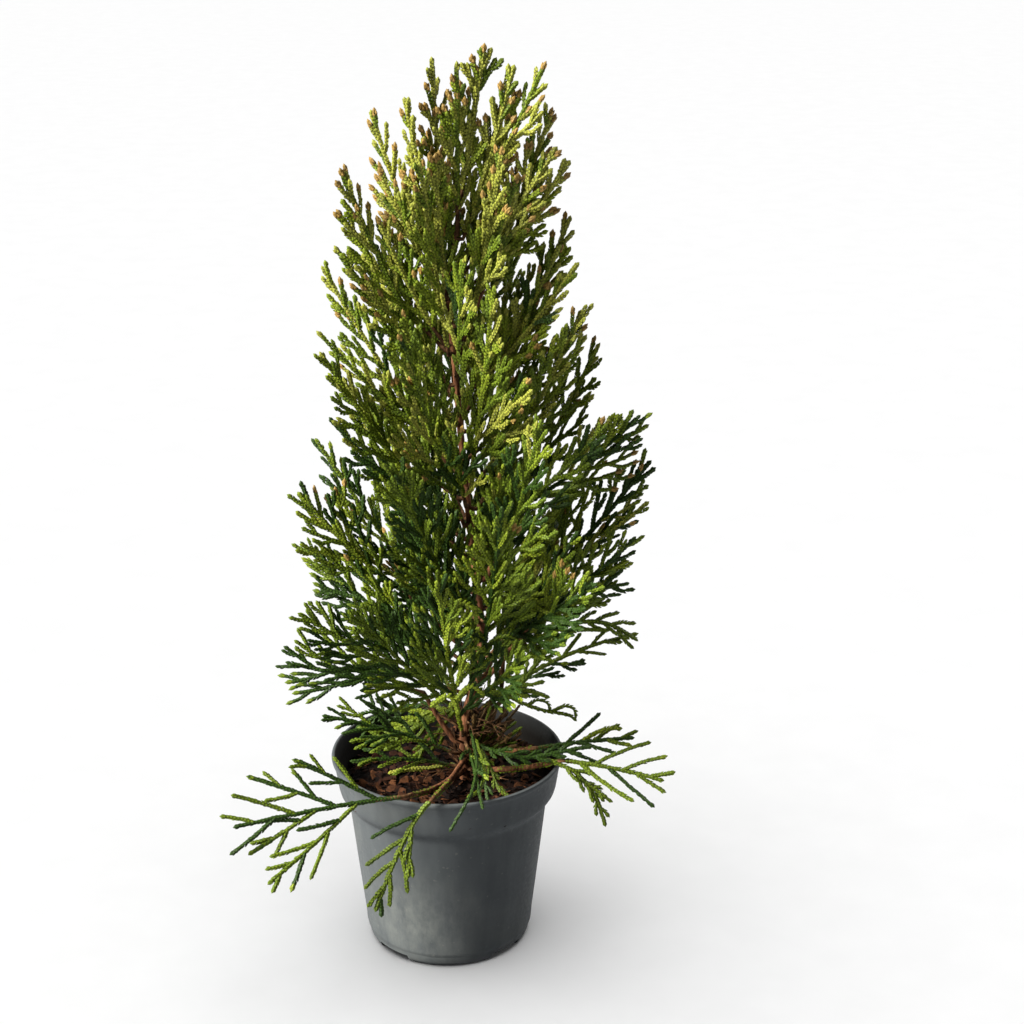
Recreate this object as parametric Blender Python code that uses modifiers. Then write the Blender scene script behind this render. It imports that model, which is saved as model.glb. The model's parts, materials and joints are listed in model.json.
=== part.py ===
"""A young thuja in its nine centimetre nursery pot.

Metres, +Z up.  The origin is the middle of the pot's flat underside and the plant's
front looks along -Y.  Sizes are written in millimetres and scaled once by MM.  The
trunk runs whole to its tip.  Each bough is one tapering limb with a foliage mass at
its end, and the other masses stand on the trunk.  A mass is one stem with flat
pinnae set alternately along it, fused into one closed body.
"""
import math
import random

import bpy
import bmesh
from mathutils import Vector

MM = 0.001
GAP = 0.32                    # clearance between pieces that touch, mm
STEPS = 28                    # facets round the pot and the potting mix

# Pot: a thin turned shell with a collar under the lip and a notched foot
RIM_R, RIM_Z = 45.0, 78.0
COLLAR_R, COLLAR_Z = 42.4, 64.5
NECK_R, NECK_Z = 38.5, 60.0
FOOT_R, FOOT_Z = 32.4, 4.6
WALL = 1.15
FLOOR = 3.6
NOTCH_WIDTH, NOTCH_HEIGHT, NOTCH_DEPTH = 15.0, 3.0, 8.0
DRAIN_R, DRAIN_RING = 1.8, 26.5
NOTCH_ANGLES = (45.0, 135.0, 225.0, 315.0)

# Potting mix: a plug that is level round the trunk and sinks towards the wall
SOIL_Z, SOIL_EDGE_Z = 67.0, 65.6
SOIL_LEVEL_R = 18.0

# Trunk: axis points (x, y, z) from the soil to the tip, and radii with the root flare
TRUNK_LINE = ((6.7, -4.0, SOIL_Z + GAP), (6.7, -4.0, 71.0), (6.9, -4.0, 92.0),
              (10.8, -3.0, 107.0), (13.4, -2.0, 122.0), (11.6, -1.0, 150.0),
              (7.6, 0.0, 190.0), (4.4, 0.0, 232.0), (2.7, 0.0, 256.0),
              (4.4, 0.0, 276.0), (7.0, 0.0, 294.0))
FLARE_R, LOW_R, HIGH_R, TIP_R = 2.9, 2.0, 1.3, 0.8
FLARE_HEIGHT = 6.0

# Boughs: name -> (height on the trunk, tip, sag of the middle, root and tip radius)
BOUGHS = {
    "bough_fork": (243.0, (14.4, -4.0, 262.0), 1.0, 1.15, 0.9),
    "bough_right_high": (150.0, (27.0, 2.0, 176.0), 2.0, 1.3, 0.9),
    "bough_right_mid": (110.0, (34.0, 1.0, 134.0), 3.0, 1.3, 0.9),
    "bough_left_mid": (120.0, (-14.0, 3.0, 142.0), 3.0, 1.3, 0.9),
    "bough_left_low": (84.0, (-8.0, -4.0, 103.0), 2.0, 1.2, 0.9),
    "bough_rim_right": (79.0, (32.0, -9.0, 82.5), 1.0, 1.3, 0.95),
    "bough_rim_far_right": (72.5, (42.0, -18.0, 81.5), 3.0, 1.3, 0.95),
    "bough_rim_left": (72.5, (-14.0, -43.5, 81.5), 4.0, 1.4, 1.0),
    "bough_rim_front": (76.5, (-5.0, -44.0, 81.0), 2.0, 1.2, 0.9),
}

# Foliage masses: name -> (where it stands: a height on the trunk or a bough, tip,
# sag of the stem's middle, longest pinna, spacing of the pinnae along one side,
# direction that the fan faces: degrees round from the front, and degrees up)
MASSES = {
    "foliage_leader": ("tip", (15.5, 0.0, 346.5), 0.0, 19.0, 7.5, (12, 0)),
    "foliage_top_right": (286.0, (36.0, -4.0, 341.0), 5.0, 17.0, 8.5, (-35, 0)),
    "foliage_top_middle": (262.0, (24.0, 6.0, 338.0), 4.0, 16.0, 9.0, (50, 0)),
    "foliage_top_left": (268.0, (-2.5, 3.0, 342.0), 4.0, 18.0, 8.5, (40, 0)),
    "foliage_left_01": (256.0, (-24.0, 9.0, 323.0), 7.0, 19.0, 9.5, (-35, 0)),
    "foliage_left_02": (222.0, (-34.5, -6.0, 305.0), 7.0, 22.0, 10.5, (35, 0)),
    "foliage_left_03": (194.0, (-42.5, 6.0, 268.0), 7.0, 23.0, 10.5, (-35, 5)),
    "foliage_left_04": (166.0, (-43.0, -9.0, 240.0), 7.0, 24.0, 11.0, (35, 10)),
    "foliage_left_05": (124.0, (-47.0, 9.0, 202.0), 8.0, 25.0, 10.5, (-35, 5)),
    "foliage_left_06": ("bough_left_mid", (-53.0, -5.0, 186.0), 6.0, 24.0, 9.0, (25, 0)),
    "foliage_left_07": (112.0, (-54.0, 12.0, 160.0), 8.0, 26.0, 9.0, (-30, 10)),
    "foliage_left_08": (104.0, (-54.0, -12.0, 141.0), 6.0, 26.0, 9.0, (25, 25)),
    "foliage_left_09": ("bough_left_low", (-60.0, -2.0, 117.0), 0.0, 29.0, 11.0, (5, 15)),
    "foliage_left_10": (79.0, (-46.0, -14.0, 100.0), -4.0, 20.0, 10.0, (0, 50)),
    "foliage_right_01": ("bough_fork", (39.0, 4.0, 324.0), 5.0, 19.0, 8.0, (30, 0)),
    "foliage_right_02": (208.0, (46.0, 8.0, 285.0), 7.0, 21.0, 10.5, (-35, 0)),
    "foliage_right_03": (178.0, (51.0, -6.0, 256.0), 7.0, 23.0, 10.5, (30, 5)),
    "foliage_right_04": (160.0, (57.0, 10.0, 237.0), 7.0, 24.0, 11.0, (-40, 5)),
    "foliage_right_05": ("bough_right_high", (71.0, -4.0, 214.0), 6.0, 24.0, 9.0, (20, 0)),
    "foliage_right_06": (130.0, (76.5, 6.0, 193.0), 8.0, 26.0, 9.5, (-25, 5)),
    "foliage_right_07": ("bough_right_mid", (70.0, -8.0, 168.0), 5.0, 20.0, 9.5, (20, 15)),
    "foliage_right_08": (102.0, (68.0, 10.0, 152.0), 6.0, 20.0, 9.5, (-30, 20)),
    "foliage_right_09": (96.0, (72.0, 2.0, 125.0), -11.0, 15.0, 12.0, (4, 40)),
    "foliage_front_01": (238.0, (-7.0, -15.0, 309.0), 3.0, 18.0, 11.0, (55, 0)),
    "foliage_front_02": (230.0, (21.0, -16.0, 314.0), 4.0, 18.0, 11.0, (-50, 0)),
    "foliage_front_03": (186.0, (18.0, -26.0, 268.0), 6.0, 22.0, 11.0, (-50, 10)),
    "foliage_front_04": (172.0, (-14.0, -27.0, 252.0), 6.0, 24.0, 11.0, (45, 10)),
    "foliage_front_05": (134.0, (34.0, -34.0, 222.0), 7.0, 26.0, 10.5, (-40, 10)),
    "foliage_front_06": (128.0, (-18.0, -38.0, 208.0), 8.0, 27.0, 10.0, (15, 15)),
    "foliage_front_07": (108.0, (20.0, -45.0, 194.0), 8.0, 27.0, 10.0, (0, 15)),
    "foliage_front_08": (124.0, (53.0, -43.0, 164.0), 3.0, 25.0, 9.0, (-15, 30)),
    "foliage_front_09": (97.0, (-33.0, -40.0, 154.0), 5.0, 26.0, 9.0, (20, 25)),
    "foliage_front_10": (88.0, (-3.0, -44.0, 166.0), 8.0, 26.0, 9.0, (-5, 20)),
    "foliage_front_11": (103.0, (28.0, -40.0, 136.0), 2.0, 20.0, 9.5, (-15, 30)),
    "foliage_back_01": (226.0, (-2.0, 20.0, 304.0), 6.0, 21.0, 11.5, (130, 0)),
    "foliage_back_02": (190.0, (27.0, 28.0, 272.0), 7.0, 25.0, 11.5, (225, 5)),
    "foliage_back_03": (152.0, (-16.0, 36.0, 242.0), 8.0, 27.0, 13.0, (140, 5)),
    "foliage_back_04": (132.0, (-28.0, 42.0, 204.0), 9.0, 27.0, 12.5, (140, 10)),
    "foliage_back_05": (126.0, (30.0, 42.0, 214.0), 8.0, 27.0, 12.5, (225, 10)),
    "foliage_back_06": (104.0, (20.0, 52.0, 184.0), 8.0, 27.0, 11.5, (150, 15)),
    "foliage_back_07": (106.0, (46.0, 46.0, 156.0), 5.0, 25.0, 10.5, (215, 15)),
    "foliage_back_08": (94.0, (-22.0, 48.0, 150.0), 6.0, 27.0, 10.5, (160, 20)),
    "foliage_pot_left": (73.5, (-36.0, -13.0, 80.5), -4.0, 14.0, 10.0, (0, 60)),
    "foliage_pot_front": (84.0, (12.5, -49.5, 79.5), -6.0, 9.0, 11.0, (0, 60)),
    "foliage_rim_left": ("bough_rim_left", (-76.0, -62.0, 80.0), -2.0, 39.0, 15.0, (0, 35)),
    "foliage_rim_front": ("bough_rim_front", (-27.0, -55.0, 41.0), -12.0, 18.0, 11.0, (0, 10)),
    "foliage_rim_right": ("bough_rim_right", (71.0, -6.0, 85.0), -1.0, 17.0, 11.0, (0, 45)),
    "foliage_rim_far_right": ("bough_rim_far_right", (81.0, -22.0, 75.0), -2.0, 24.0, 12.0,
                              (0, 35)),
}

# Pinnae
BARE_STEM = 0.14              # share of a stem that carries no pinna
PINNA_ANGLE, TIP_ANGLE = 37.0, 21.0
LONG_PINNA = 28.0             # a longer one is a twig with pinnae of its own
STEM_R, STEM_TIP_R = 1.45, 0.85
BLADE_SLIMNESS, BLADE_MIN, BLADE_MAX = 0.24, 3.4, 6.0
BLADE_THICK = 1.3
SUNK = 0.9                    # how far a pinna's root lies behind the stem's axis
SHORTENINGS = (1.0, 0.75, 0.5)
CELL = 1.7                    # size of the cells that record which mass fills a space


def add_material(name, colour, roughness):
    """A plain Principled material."""
    material = bpy.data.materials.new(name)
    material.use_nodes = True
    shader = material.node_tree.nodes["Principled BSDF"]
    shader.inputs["Base Color"].default_value = (*colour, 1.0)
    shader.inputs["Roughness"].default_value = roughness
    shader.inputs["Metallic"].default_value = 0.0
    return material


def vector(point):
    """A point in millimetres as a vector in metres."""
    return Vector(point) * MM


def bend(first, control, last, share):
    """A point on a quadratic curve."""
    return first.lerp(control, share).lerp(control.lerp(last, share), share)


def trunk_radius(height):
    """Radius of the trunk in millimetres: a root flare, then an even taper."""
    bottom, top = TRUNK_LINE[0][2], TRUNK_LINE[-1][2]
    flare = max(0.0, 1.0 - (height - bottom) / FLARE_HEIGHT)
    share = (height - bottom) / (top - bottom)
    if share < 0.5:
        body = LOW_R + (HIGH_R - LOW_R) * share / 0.5
    else:
        body = HIGH_R + (TIP_R - HIGH_R) * (share - 0.5) / 0.5
    return body + (FLARE_R - LOW_R) * flare ** 2


def smooth(points, share, index):
    """A point between points[index] and the next, on a smooth curve through them all."""
    before = points[max(index - 1, 0)]
    first, last = points[index], points[index + 1]
    after = points[min(index + 2, len(points) - 1)]
    cubed, squared = share ** 3, share ** 2
    return (first * (2 * cubed - 3 * squared + 1) + last * (3 * squared - 2 * cubed)
            + (last - before) * 0.5 * (cubed - 2 * squared + share)
            + (after - first) * 0.5 * (cubed - squared))


def trunk_points():
    """The trunk's axis as closely spaced points: (point, radius)."""
    line = [Vector(point) for point in TRUNK_LINE]
    found = []
    for index in range(len(line) - 1):
        parts = 1 if index < 3 else 2
        for part in range(parts):
            found.append(smooth(line, part / parts, index))
    found[0].xy = found[1].xy
    found.append(line[-1])
    return [(point * MM, trunk_radius(point.z) * MM) for point in found]


def on_trunk(trunk, height):
    """The trunk's axis point and radius at a height in millimetres."""
    level = height * MM
    for (low, low_radius), (high, high_radius) in zip(trunk, trunk[1:]):
        if low.z <= level <= high.z:
            share = (level - low.z) / (high.z - low.z)
            return low.lerp(high, share), low_radius + (high_radius - low_radius) * share
    return trunk[-1]


def rooted_path(start, outward, tip, sag, count):
    """A path that leaves its support squarely and then bends to its tip."""
    first = start + outward * 1.6 * MM
    control = first.lerp(tip, 0.45) - Vector((0.0, 0.0, sag * MM))
    return [start] + [bend(first, control, tip, step / count) for step in range(count + 1)]


def path_from_trunk(trunk, height, tip, sag, count):
    """A path that starts just clear of the trunk, on the side that faces its tip."""
    centre, radius = on_trunk(trunk, height)
    outward = tip - centre
    outward.z = 0.0
    outward.normalize()
    return rooted_path(centre + outward * (radius + GAP * MM), outward, tip, sag, count)


def path_from_end(line, tip, sag, count):
    """A path that goes on from the end of a limb, just clear of it."""
    (before, _), (end, _) = line[-2:]
    outward = (end - before).normalized()
    return rooted_path(end + outward * GAP * MM, outward, tip, sag, count)


def along(path, share):
    """Point and direction at a share of a path's length."""
    lengths = [(b - a).length for a, b in zip(path, path[1:])]
    left = share * sum(lengths)
    for (a, b), length in zip(zip(path, path[1:]), lengths):
        if left <= length:
            return a.lerp(b, left / length), (b - a).normalized()
        left -= length
    return path[-1], (path[-1] - path[-2]).normalized()


def facing(angles):
    """The direction that a fan faces: degrees round from the front, and degrees up."""
    turn, up = math.radians(angles[0]), math.radians(angles[1])
    return Vector((math.sin(turn) * math.cos(up), -math.cos(turn) * math.cos(up),
                   math.sin(up)))


class Room:
    """Which mass fills each cell of the crown, so that masses keep apart."""

    def __init__(self):
        self.owner = {}

    def cell(self, point):
        """The cell a point lies in."""
        return tuple(math.floor(value / (CELL * MM)) for value in point)

    def free(self, points, name):
        """True where every point is in a cell that is empty or the mass's own."""
        return all(self.owner.get(self.cell(point), name) == name for point in points)

    def take(self, points, name):
        """Give a mass the cells round its points; a cell two masses reach is shut."""
        for point in points:
            x, y, z = self.cell(point)
            for cell in ((x + i, y + j, z + k) for i in (-1, 0, 1)
                         for j in (-1, 0, 1) for k in (-1, 0, 1)):
                if self.owner.setdefault(cell, name) != name:
                    self.owner[cell] = "shut"


def samples(path, half_widths, side):
    """Points a millimetre apart over a flat strip that follows a path."""
    found = []
    for index, (first, last) in enumerate(zip(path, path[1:])):
        count = max(1, math.ceil((last - first).length / MM))
        for step in range(count + 1):
            share = step / count
            half = half_widths[index] + (half_widths[index + 1] - half_widths[index]) * share
            across = max(1, math.ceil(half / MM))
            middle = first.lerp(last, share)
            found += [middle + side * half * k / across for k in range(-across, across + 1)]
    return found


def outside_pot(points):
    """True where all points are clear of the pot, the potting mix and the ground."""
    for point in points:
        across, level = math.hypot(point.x, point.y) / MM, point.z / MM
        over_soil = level > SOIL_Z + 1.4 and across < COLLAR_R - 2.6
        beside = across > RIM_R + 1.4 and level > 3.0
        if not (level > RIM_Z + 1.4 or over_soil or beside):
            return False
    return True


def plan_pinnae(name, path, longest, spacing, normal, chance):
    """The pinnae along a stem, alternately left and right: what each one would be."""
    length = sum((b - a).length for a, b in zip(path, path[1:])) / MM
    count = max(4, round(2.0 * length * (1.0 - BARE_STEM) / spacing))
    found = []
    for index in range(count):
        share = BARE_STEM + (0.96 - BARE_STEM) * (index + 0.5) / count
        root, ahead = along(path, share)
        side = normal.cross(ahead).normalized() * (1 if index % 2 else -1)
        angle = PINNA_ANGLE + (TIP_ANGLE - PINNA_ANGLE) * share + chance.uniform(-5.0, 5.0)
        angle = math.radians(angle)
        flat = ahead.cross(side).normalized() * chance.uniform(-0.16, 0.16)
        out = (ahead * math.cos(angle) + side * math.sin(angle) + flat).normalized()
        profile = min(1.0, 0.65 + 1.4 * share) * (1.0 - 0.8 * max(0.0, share - 0.34) / 0.66)
        reach = longest * profile * chance.uniform(0.86, 1.12)
        found.append({"mass": name, "root": root, "out": out, "ahead": ahead,
                      "reach": reach, "seed": chance.random()})
    return found


def spine(plan, reach):
    """Root, widest place and tip of a pinna, which bends a little towards its stem."""
    root, out, ahead = plan["root"], plan["out"], plan["ahead"]
    middle = root + (out * 0.33 - ahead * 0.02) * reach * MM
    return [root, middle, root + (out + ahead * 0.05) * reach * MM]


def fit_blade(plan, normal, room):
    """The pinna as a blade, at the greatest length that keeps to free space, or None."""
    for shortening in SHORTENINGS:
        reach = plan["reach"] * shortening
        if reach < 5.0:
            return None
        width = max(BLADE_MIN, min(BLADE_MAX, reach * BLADE_SLIMNESS))
        line = spine(plan, reach)
        side = normal.cross(plan["out"]).normalized()
        points = samples(line, [0.4 * MM, width * 0.5 * MM, 0.2 * MM], side)
        clear = [point for point in points if (point - plan["root"]).length > 1.5 * MM]
        if outside_pot(points) and room.free(clear, plan["mass"]):
            room.take(points, plan["mass"])
            return {"spine": line, "side": side, "width": width * MM, "reach": reach}
    return None


def fit_twig(plan, normal, room):
    """A long pinna as a twig with blades of its own, or one blade where that is blocked."""
    line = spine(plan, plan["reach"] * 0.94)
    line = [bend(*line, step / 4) for step in range(5)]
    points = samples(line, [0.6 * MM] * 5, normal.cross(plan["out"]).normalized())
    clear = [point for point in points if (point - plan["root"]).length > 1.8 * MM]
    if not (outside_pot(points) and room.free(clear, plan["mass"])):
        blade = fit_blade(plan, normal, room)
        return None, [blade] if blade else []
    room.take(points, plan["mass"])
    chance = random.Random(plan["seed"])
    plans = plan_pinnae(plan["mass"], line, plan["reach"] * 0.4, 13.0, normal, chance)
    ahead = (line[-1] - line[-2]).normalized()
    plans.append({"mass": plan["mass"], "root": line[-2], "out": ahead, "ahead": ahead,
                  "reach": plan["reach"] * 0.3, "seed": 0.0})
    blades = [fit_blade(each, normal, room) for each in plans]
    return line, [each for each in blades if each]


def grow_masses(trunk, boughs):
    """Stems and pinnae of every mass, each kept to its own space."""
    room = Room()
    for limb in [trunk] + list(boughs.values()):
        for (a, ra), (b, rb) in zip(limb, limb[1:]):
            steps = max(1, math.ceil((b - a).length / MM))
            for step in range(steps + 1):
                centre = a.lerp(b, step / steps)
                reach = max(ra, rb) - 0.4 * MM
                ring = [centre + Vector((math.cos(turn), math.sin(turn), 0.0)) * reach
                        for turn in [math.tau * k / 6 for k in range(6)]]
                room.take([centre] + ring, "limb")
    masses = {}
    plans = {}
    for name, (carrier, tip, sag, longest, spacing, face) in MASSES.items():
        tip = vector(tip)
        if carrier == "tip":
            path = path_from_end(trunk, tip, sag, 4)
        elif carrier in boughs:
            path = path_from_end(boughs[carrier], tip, sag, 5)
        else:
            path = path_from_trunk(trunk, carrier, tip, sag, 5)
        masses[name] = {"path": path, "normal": facing(face), "twigs": [], "pinnae": []}
        room.take(samples(path[2:], [0.5 * MM] * (len(path) - 2), Vector((0, 0, 1))), name)
        plans[name] = plan_pinnae(name, path, longest, spacing, facing(face),
                                  random.Random(name))
    for turn in range(max(len(found) for found in plans.values())):
        for name, mass in masses.items():
            if turn < len(plans[name]):
                plan = plans[name][-1 - turn]
                if plan["reach"] > LONG_PINNA:
                    twig_line, blades = fit_twig(plan, mass["normal"], room)
                    mass["twigs"] += [twig_line] if twig_line else []
                    mass["pinnae"] += blades
                else:
                    blade = fit_blade(plan, mass["normal"], room)
                    mass["pinnae"] += [blade] if blade else []
    return masses


def clear_scene():
    """Start from an empty scene."""
    for item in list(bpy.data.objects):
        bpy.data.objects.remove(item, do_unlink=True)


def new_collection(name):
    """A collection in the scene."""
    found = bpy.data.collections.new(name)
    bpy.context.scene.collection.children.link(found)
    return found


def turned(name, profile, collection):
    """A solid turned from a profile given as (radius, height) in millimetres."""
    mesh = bpy.data.meshes.new(name)
    points = [(radius * MM, 0.0, height * MM) for radius, height in profile]
    edges = [(index, index + 1) for index in range(len(points) - 1)]
    mesh.from_pydata(points, edges, [])
    piece = bpy.data.objects.new(name, mesh)
    collection.objects.link(piece)
    screw = piece.modifiers.new("turn", "SCREW")
    screw.angle = math.tau
    screw.steps = screw.render_steps = STEPS
    screw.use_merge_vertices = True
    screw.merge_threshold = 0.00001
    screw.use_smooth_shade = True
    return piece


def pot_profile():
    """The pot's wall: over the floor, up inside, over the lip, down and under."""
    inside = [(0.0, FLOOR), (FOOT_R - WALL - 1.2, FLOOR), (FOOT_R - WALL, FOOT_Z + 0.8),
              (NECK_R - WALL, NECK_Z - 0.4), (COLLAR_R - WALL - 0.2, COLLAR_Z),
              (RIM_R - 1.4 - WALL, RIM_Z - 3.0), (RIM_R - 1.5, RIM_Z)]
    outside = [(RIM_R - 0.3, RIM_Z), (RIM_R, RIM_Z - 0.5), (RIM_R - 0.2, RIM_Z - 1.9),
               (RIM_R - 1.3, RIM_Z - 3.0), (COLLAR_R, COLLAR_Z), (NECK_R + 0.3, NECK_Z),
               (NECK_R, NECK_Z - 1.2), (35.4, 30.0), (FOOT_R, FOOT_Z),
               (FOOT_R - 0.4, FOOT_Z - 0.4), (FOOT_R - 1.2, 1.0), (FOOT_R - 2.6, 0.0),
               (0.0, 0.0)]
    return inside + outside


def make_pot(collection, cutters, material):
    """The turned pot, with four notches in its foot and a drain hole in each."""
    pot = turned("pot", pot_profile(), collection)
    for index, angle in enumerate(NOTCH_ANGLES):
        turn = math.radians(angle)
        bpy.ops.mesh.primitive_cube_add(size=1.0)
        notch = bpy.context.object
        notch.name = f"notch_{index + 1}"
        ring = FOOT_R + 2.0 - NOTCH_DEPTH / 2
        notch.location = (ring * MM * math.cos(turn), ring * MM * math.sin(turn),
                          (NOTCH_HEIGHT - 1.0) / 2 * MM)
        notch.rotation_euler.z = turn
        notch.scale = (NOTCH_DEPTH * MM, NOTCH_WIDTH * MM, (NOTCH_HEIGHT + 1.0) * MM)
        bpy.ops.mesh.primitive_cylinder_add(vertices=12, radius=DRAIN_R * MM, depth=8.0 * MM)
        drain = bpy.context.object
        drain.name = f"drain_{index + 1}"
        drain.location = (DRAIN_RING * MM * math.cos(turn), DRAIN_RING * MM * math.sin(turn),
                          3.0 * MM)
        for cutter in (notch, drain):
            for owner in list(cutter.users_collection):
                owner.objects.unlink(cutter)
            cutters.objects.link(cutter)
            cutter.hide_render = True
            cutter.display_type = "WIRE"
    cut = pot.modifiers.new("notches", "BOOLEAN")
    cut.operation = "DIFFERENCE"
    cut.operand_type = "COLLECTION"
    cut.collection = cutters
    cut.solver = "EXACT"
    pot.data.materials.append(material)
    return pot


def soil_profile():
    """The potting mix, a little inside the pot's wall all the way."""
    inner = [(radius - 1.3 * GAP, height + 0.2) for radius, height in pot_profile()[1:5]]
    edge = inner[-1][0] + 0.1
    top = [(0.0, SOIL_Z), (SOIL_LEVEL_R, SOIL_Z), (33.0, SOIL_Z - 0.5), (edge, SOIL_EDGE_Z)]
    side = [(radius, height + GAP) for radius, height in reversed(inner)]
    return top + side + [(0.0, FLOOR + 0.2 + GAP)]


def limb(name, line, sides, collection, material):
    """A tapering limb: a curve with a round section and filled ends."""
    curve = bpy.data.curves.new(name, "CURVE")
    curve.dimensions = "3D"
    spline = curve.splines.new("POLY")
    spline.points.add(len(line) - 1)
    for place, (point, radius) in zip(spline.points, line):
        place.co = (*point, 1.0)
        place.radius = radius / MM
    curve.bevel_depth = MM
    curve.bevel_resolution = (sides - 4) // 2
    curve.use_fill_caps = True
    curve.materials.append(material)
    piece = bpy.data.objects.new(name, curve)
    collection.objects.link(piece)
    return piece


def bough_line(trunk, height, tip, sag, root_radius, tip_radius):
    """The points and radii of a bough."""
    path = path_from_trunk(trunk, height, vector(tip), sag, 5)
    last = len(path) - 1
    return [(point, (root_radius + (tip_radius - root_radius) * index / last) * MM)
            for index, point in enumerate(path)]


def twig(path, section, collection):
    """A three-sided tapering twig as a closed mesh."""
    curve = bpy.data.curves.new("twig", "CURVE")
    curve.dimensions = "3D"
    spline = curve.splines.new("POLY")
    spline.points.add(len(path) - 1)
    for index, (place, point) in enumerate(zip(spline.points, path)):
        place.co = (*point, 1.0)
        place.radius = STEM_R + (STEM_TIP_R - STEM_R) * index / (len(path) - 1)
    curve.bevel_mode = "OBJECT"
    curve.twist_mode = "Z_UP"
    curve.bevel_object = section
    curve.use_fill_caps = True
    drawn = bpy.data.objects.new("twig", curve)
    collection.objects.link(drawn)
    bpy.context.view_layer.update()
    seen = drawn.evaluated_get(bpy.context.evaluated_depsgraph_get())
    mesh = bpy.data.meshes.new_from_object(seen)
    bpy.data.objects.remove(drawn, do_unlink=True)
    work = bmesh.new()
    work.from_mesh(mesh)
    bmesh.ops.remove_doubles(work, verts=work.verts, dist=0.00001)
    bmesh.ops.recalc_face_normals(work, faces=work.faces)
    work.to_mesh(mesh)
    work.free()
    return mesh


def blade_mesh(pinna):
    """A flat, pointed pinna: a three-sided ball drawn out, flat below and ridged above."""
    root, middle, tip = pinna["spine"]
    side = pinna["side"] * pinna["width"] / 2
    flat = pinna["side"].cross(tip - root).normalized() * BLADE_THICK * MM
    work = bmesh.new()
    bmesh.ops.create_uvsphere(work, u_segments=3, v_segments=2, radius=1.0)
    ring = [vertex for vertex in work.verts if abs(vertex.co.z) < 0.5]
    for vertex in work.verts:
        if vertex.co.z < -0.5:
            vertex.co = root - (middle - root).normalized() * SUNK * MM
        elif vertex.co.z > 0.5:
            vertex.co = tip
    for vertex, offset in zip(ring, (side - flat / 3, flat * 2 / 3, -side - flat / 3)):
        vertex.co = middle + offset
    work.normal_update()
    bmesh.ops.recalc_face_normals(work, faces=work.faces)
    mesh = bpy.data.meshes.new("blade")
    work.to_mesh(mesh)
    work.free()
    return mesh


def keep_outer_body(mesh):
    """Drop loose scraps and sealed hollows: only the largest shell stays."""
    work = bmesh.new()
    work.from_mesh(mesh)
    waiting = set(work.faces)
    shells = []
    while waiting:
        shell = {waiting.pop()}
        edge_of_search = list(shell)
        while edge_of_search:
            face = edge_of_search.pop()
            for edge in face.edges:
                for other in edge.link_faces:
                    if other in waiting:
                        waiting.discard(other)
                        shell.add(other)
                        edge_of_search.append(other)
        shells.append(shell)
    largest = max(shells, key=len)
    spare = [face for shell in shells if shell is not largest for face in shell]
    bmesh.ops.delete(work, geom=spare, context="FACES")
    loose = [vertex for vertex in work.verts if not vertex.link_faces]
    bmesh.ops.delete(work, geom=loose, context="VERTS")
    work.to_mesh(mesh)
    work.free()


def closed(mesh):
    """True where every edge of a mesh lies between exactly two faces."""
    work = bmesh.new()
    work.from_mesh(mesh)
    whole = all(len(edge.link_faces) == 2 for edge in work.edges)
    work.free()
    return whole


def fuse(stem, parts):
    """One union of a stem with a collection of its twigs and pinnae, as a new mesh."""
    join = stem.modifiers.new("join", "BOOLEAN")
    join.operation = "UNION"
    join.operand_type = "COLLECTION"
    join.collection = parts
    for solver in ("EXACT", "MANIFOLD"):
        join.solver = solver
        bpy.context.view_layer.update()
        seen = stem.evaluated_get(bpy.context.evaluated_depsgraph_get())
        fused = bpy.data.meshes.new_from_object(seen)
        keep_outer_body(fused)
        if closed(fused):
            break
    stem.modifiers.remove(join)
    return fused


def make_mass(name, mass, section, collection, material):
    """Fuse a stem, its twigs and its pinnae into one closed body."""
    parts = bpy.data.collections.new(name + "_parts")
    bpy.context.scene.collection.children.link(parts)
    stem = bpy.data.objects.new(name, twig(mass["path"], section, collection))
    collection.objects.link(stem)
    for line in mass["twigs"]:
        parts.objects.link(bpy.data.objects.new("twig", twig(line, section, collection)))
    for pinna in mass["pinnae"]:
        parts.objects.link(bpy.data.objects.new("pinna", blade_mesh(pinna)))
    stem.data = fuse(stem, parts)
    stem.data.materials.clear()
    stem.data.materials.append(material)
    for piece in list(parts.objects):
        bpy.data.objects.remove(piece, do_unlink=True)
    bpy.data.collections.remove(parts)
    return stem


def twig_section(guides):
    """The three-sided outline that twigs are drawn with, one millimetre in radius."""
    curve = bpy.data.curves.new("twig_section", "CURVE")
    curve.dimensions = "2D"
    spline = curve.splines.new("POLY")
    spline.points.add(2)
    for index, place in enumerate(spline.points):
        turn = math.tau * index / 3
        place.co = (MM * math.cos(turn), MM * math.sin(turn), 0.0, 1.0)
    spline.use_cyclic_u = True
    section = bpy.data.objects.new("twig_section", curve)
    guides.objects.link(section)
    section.hide_render = True
    section.display_type = "WIRE"
    return section


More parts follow.
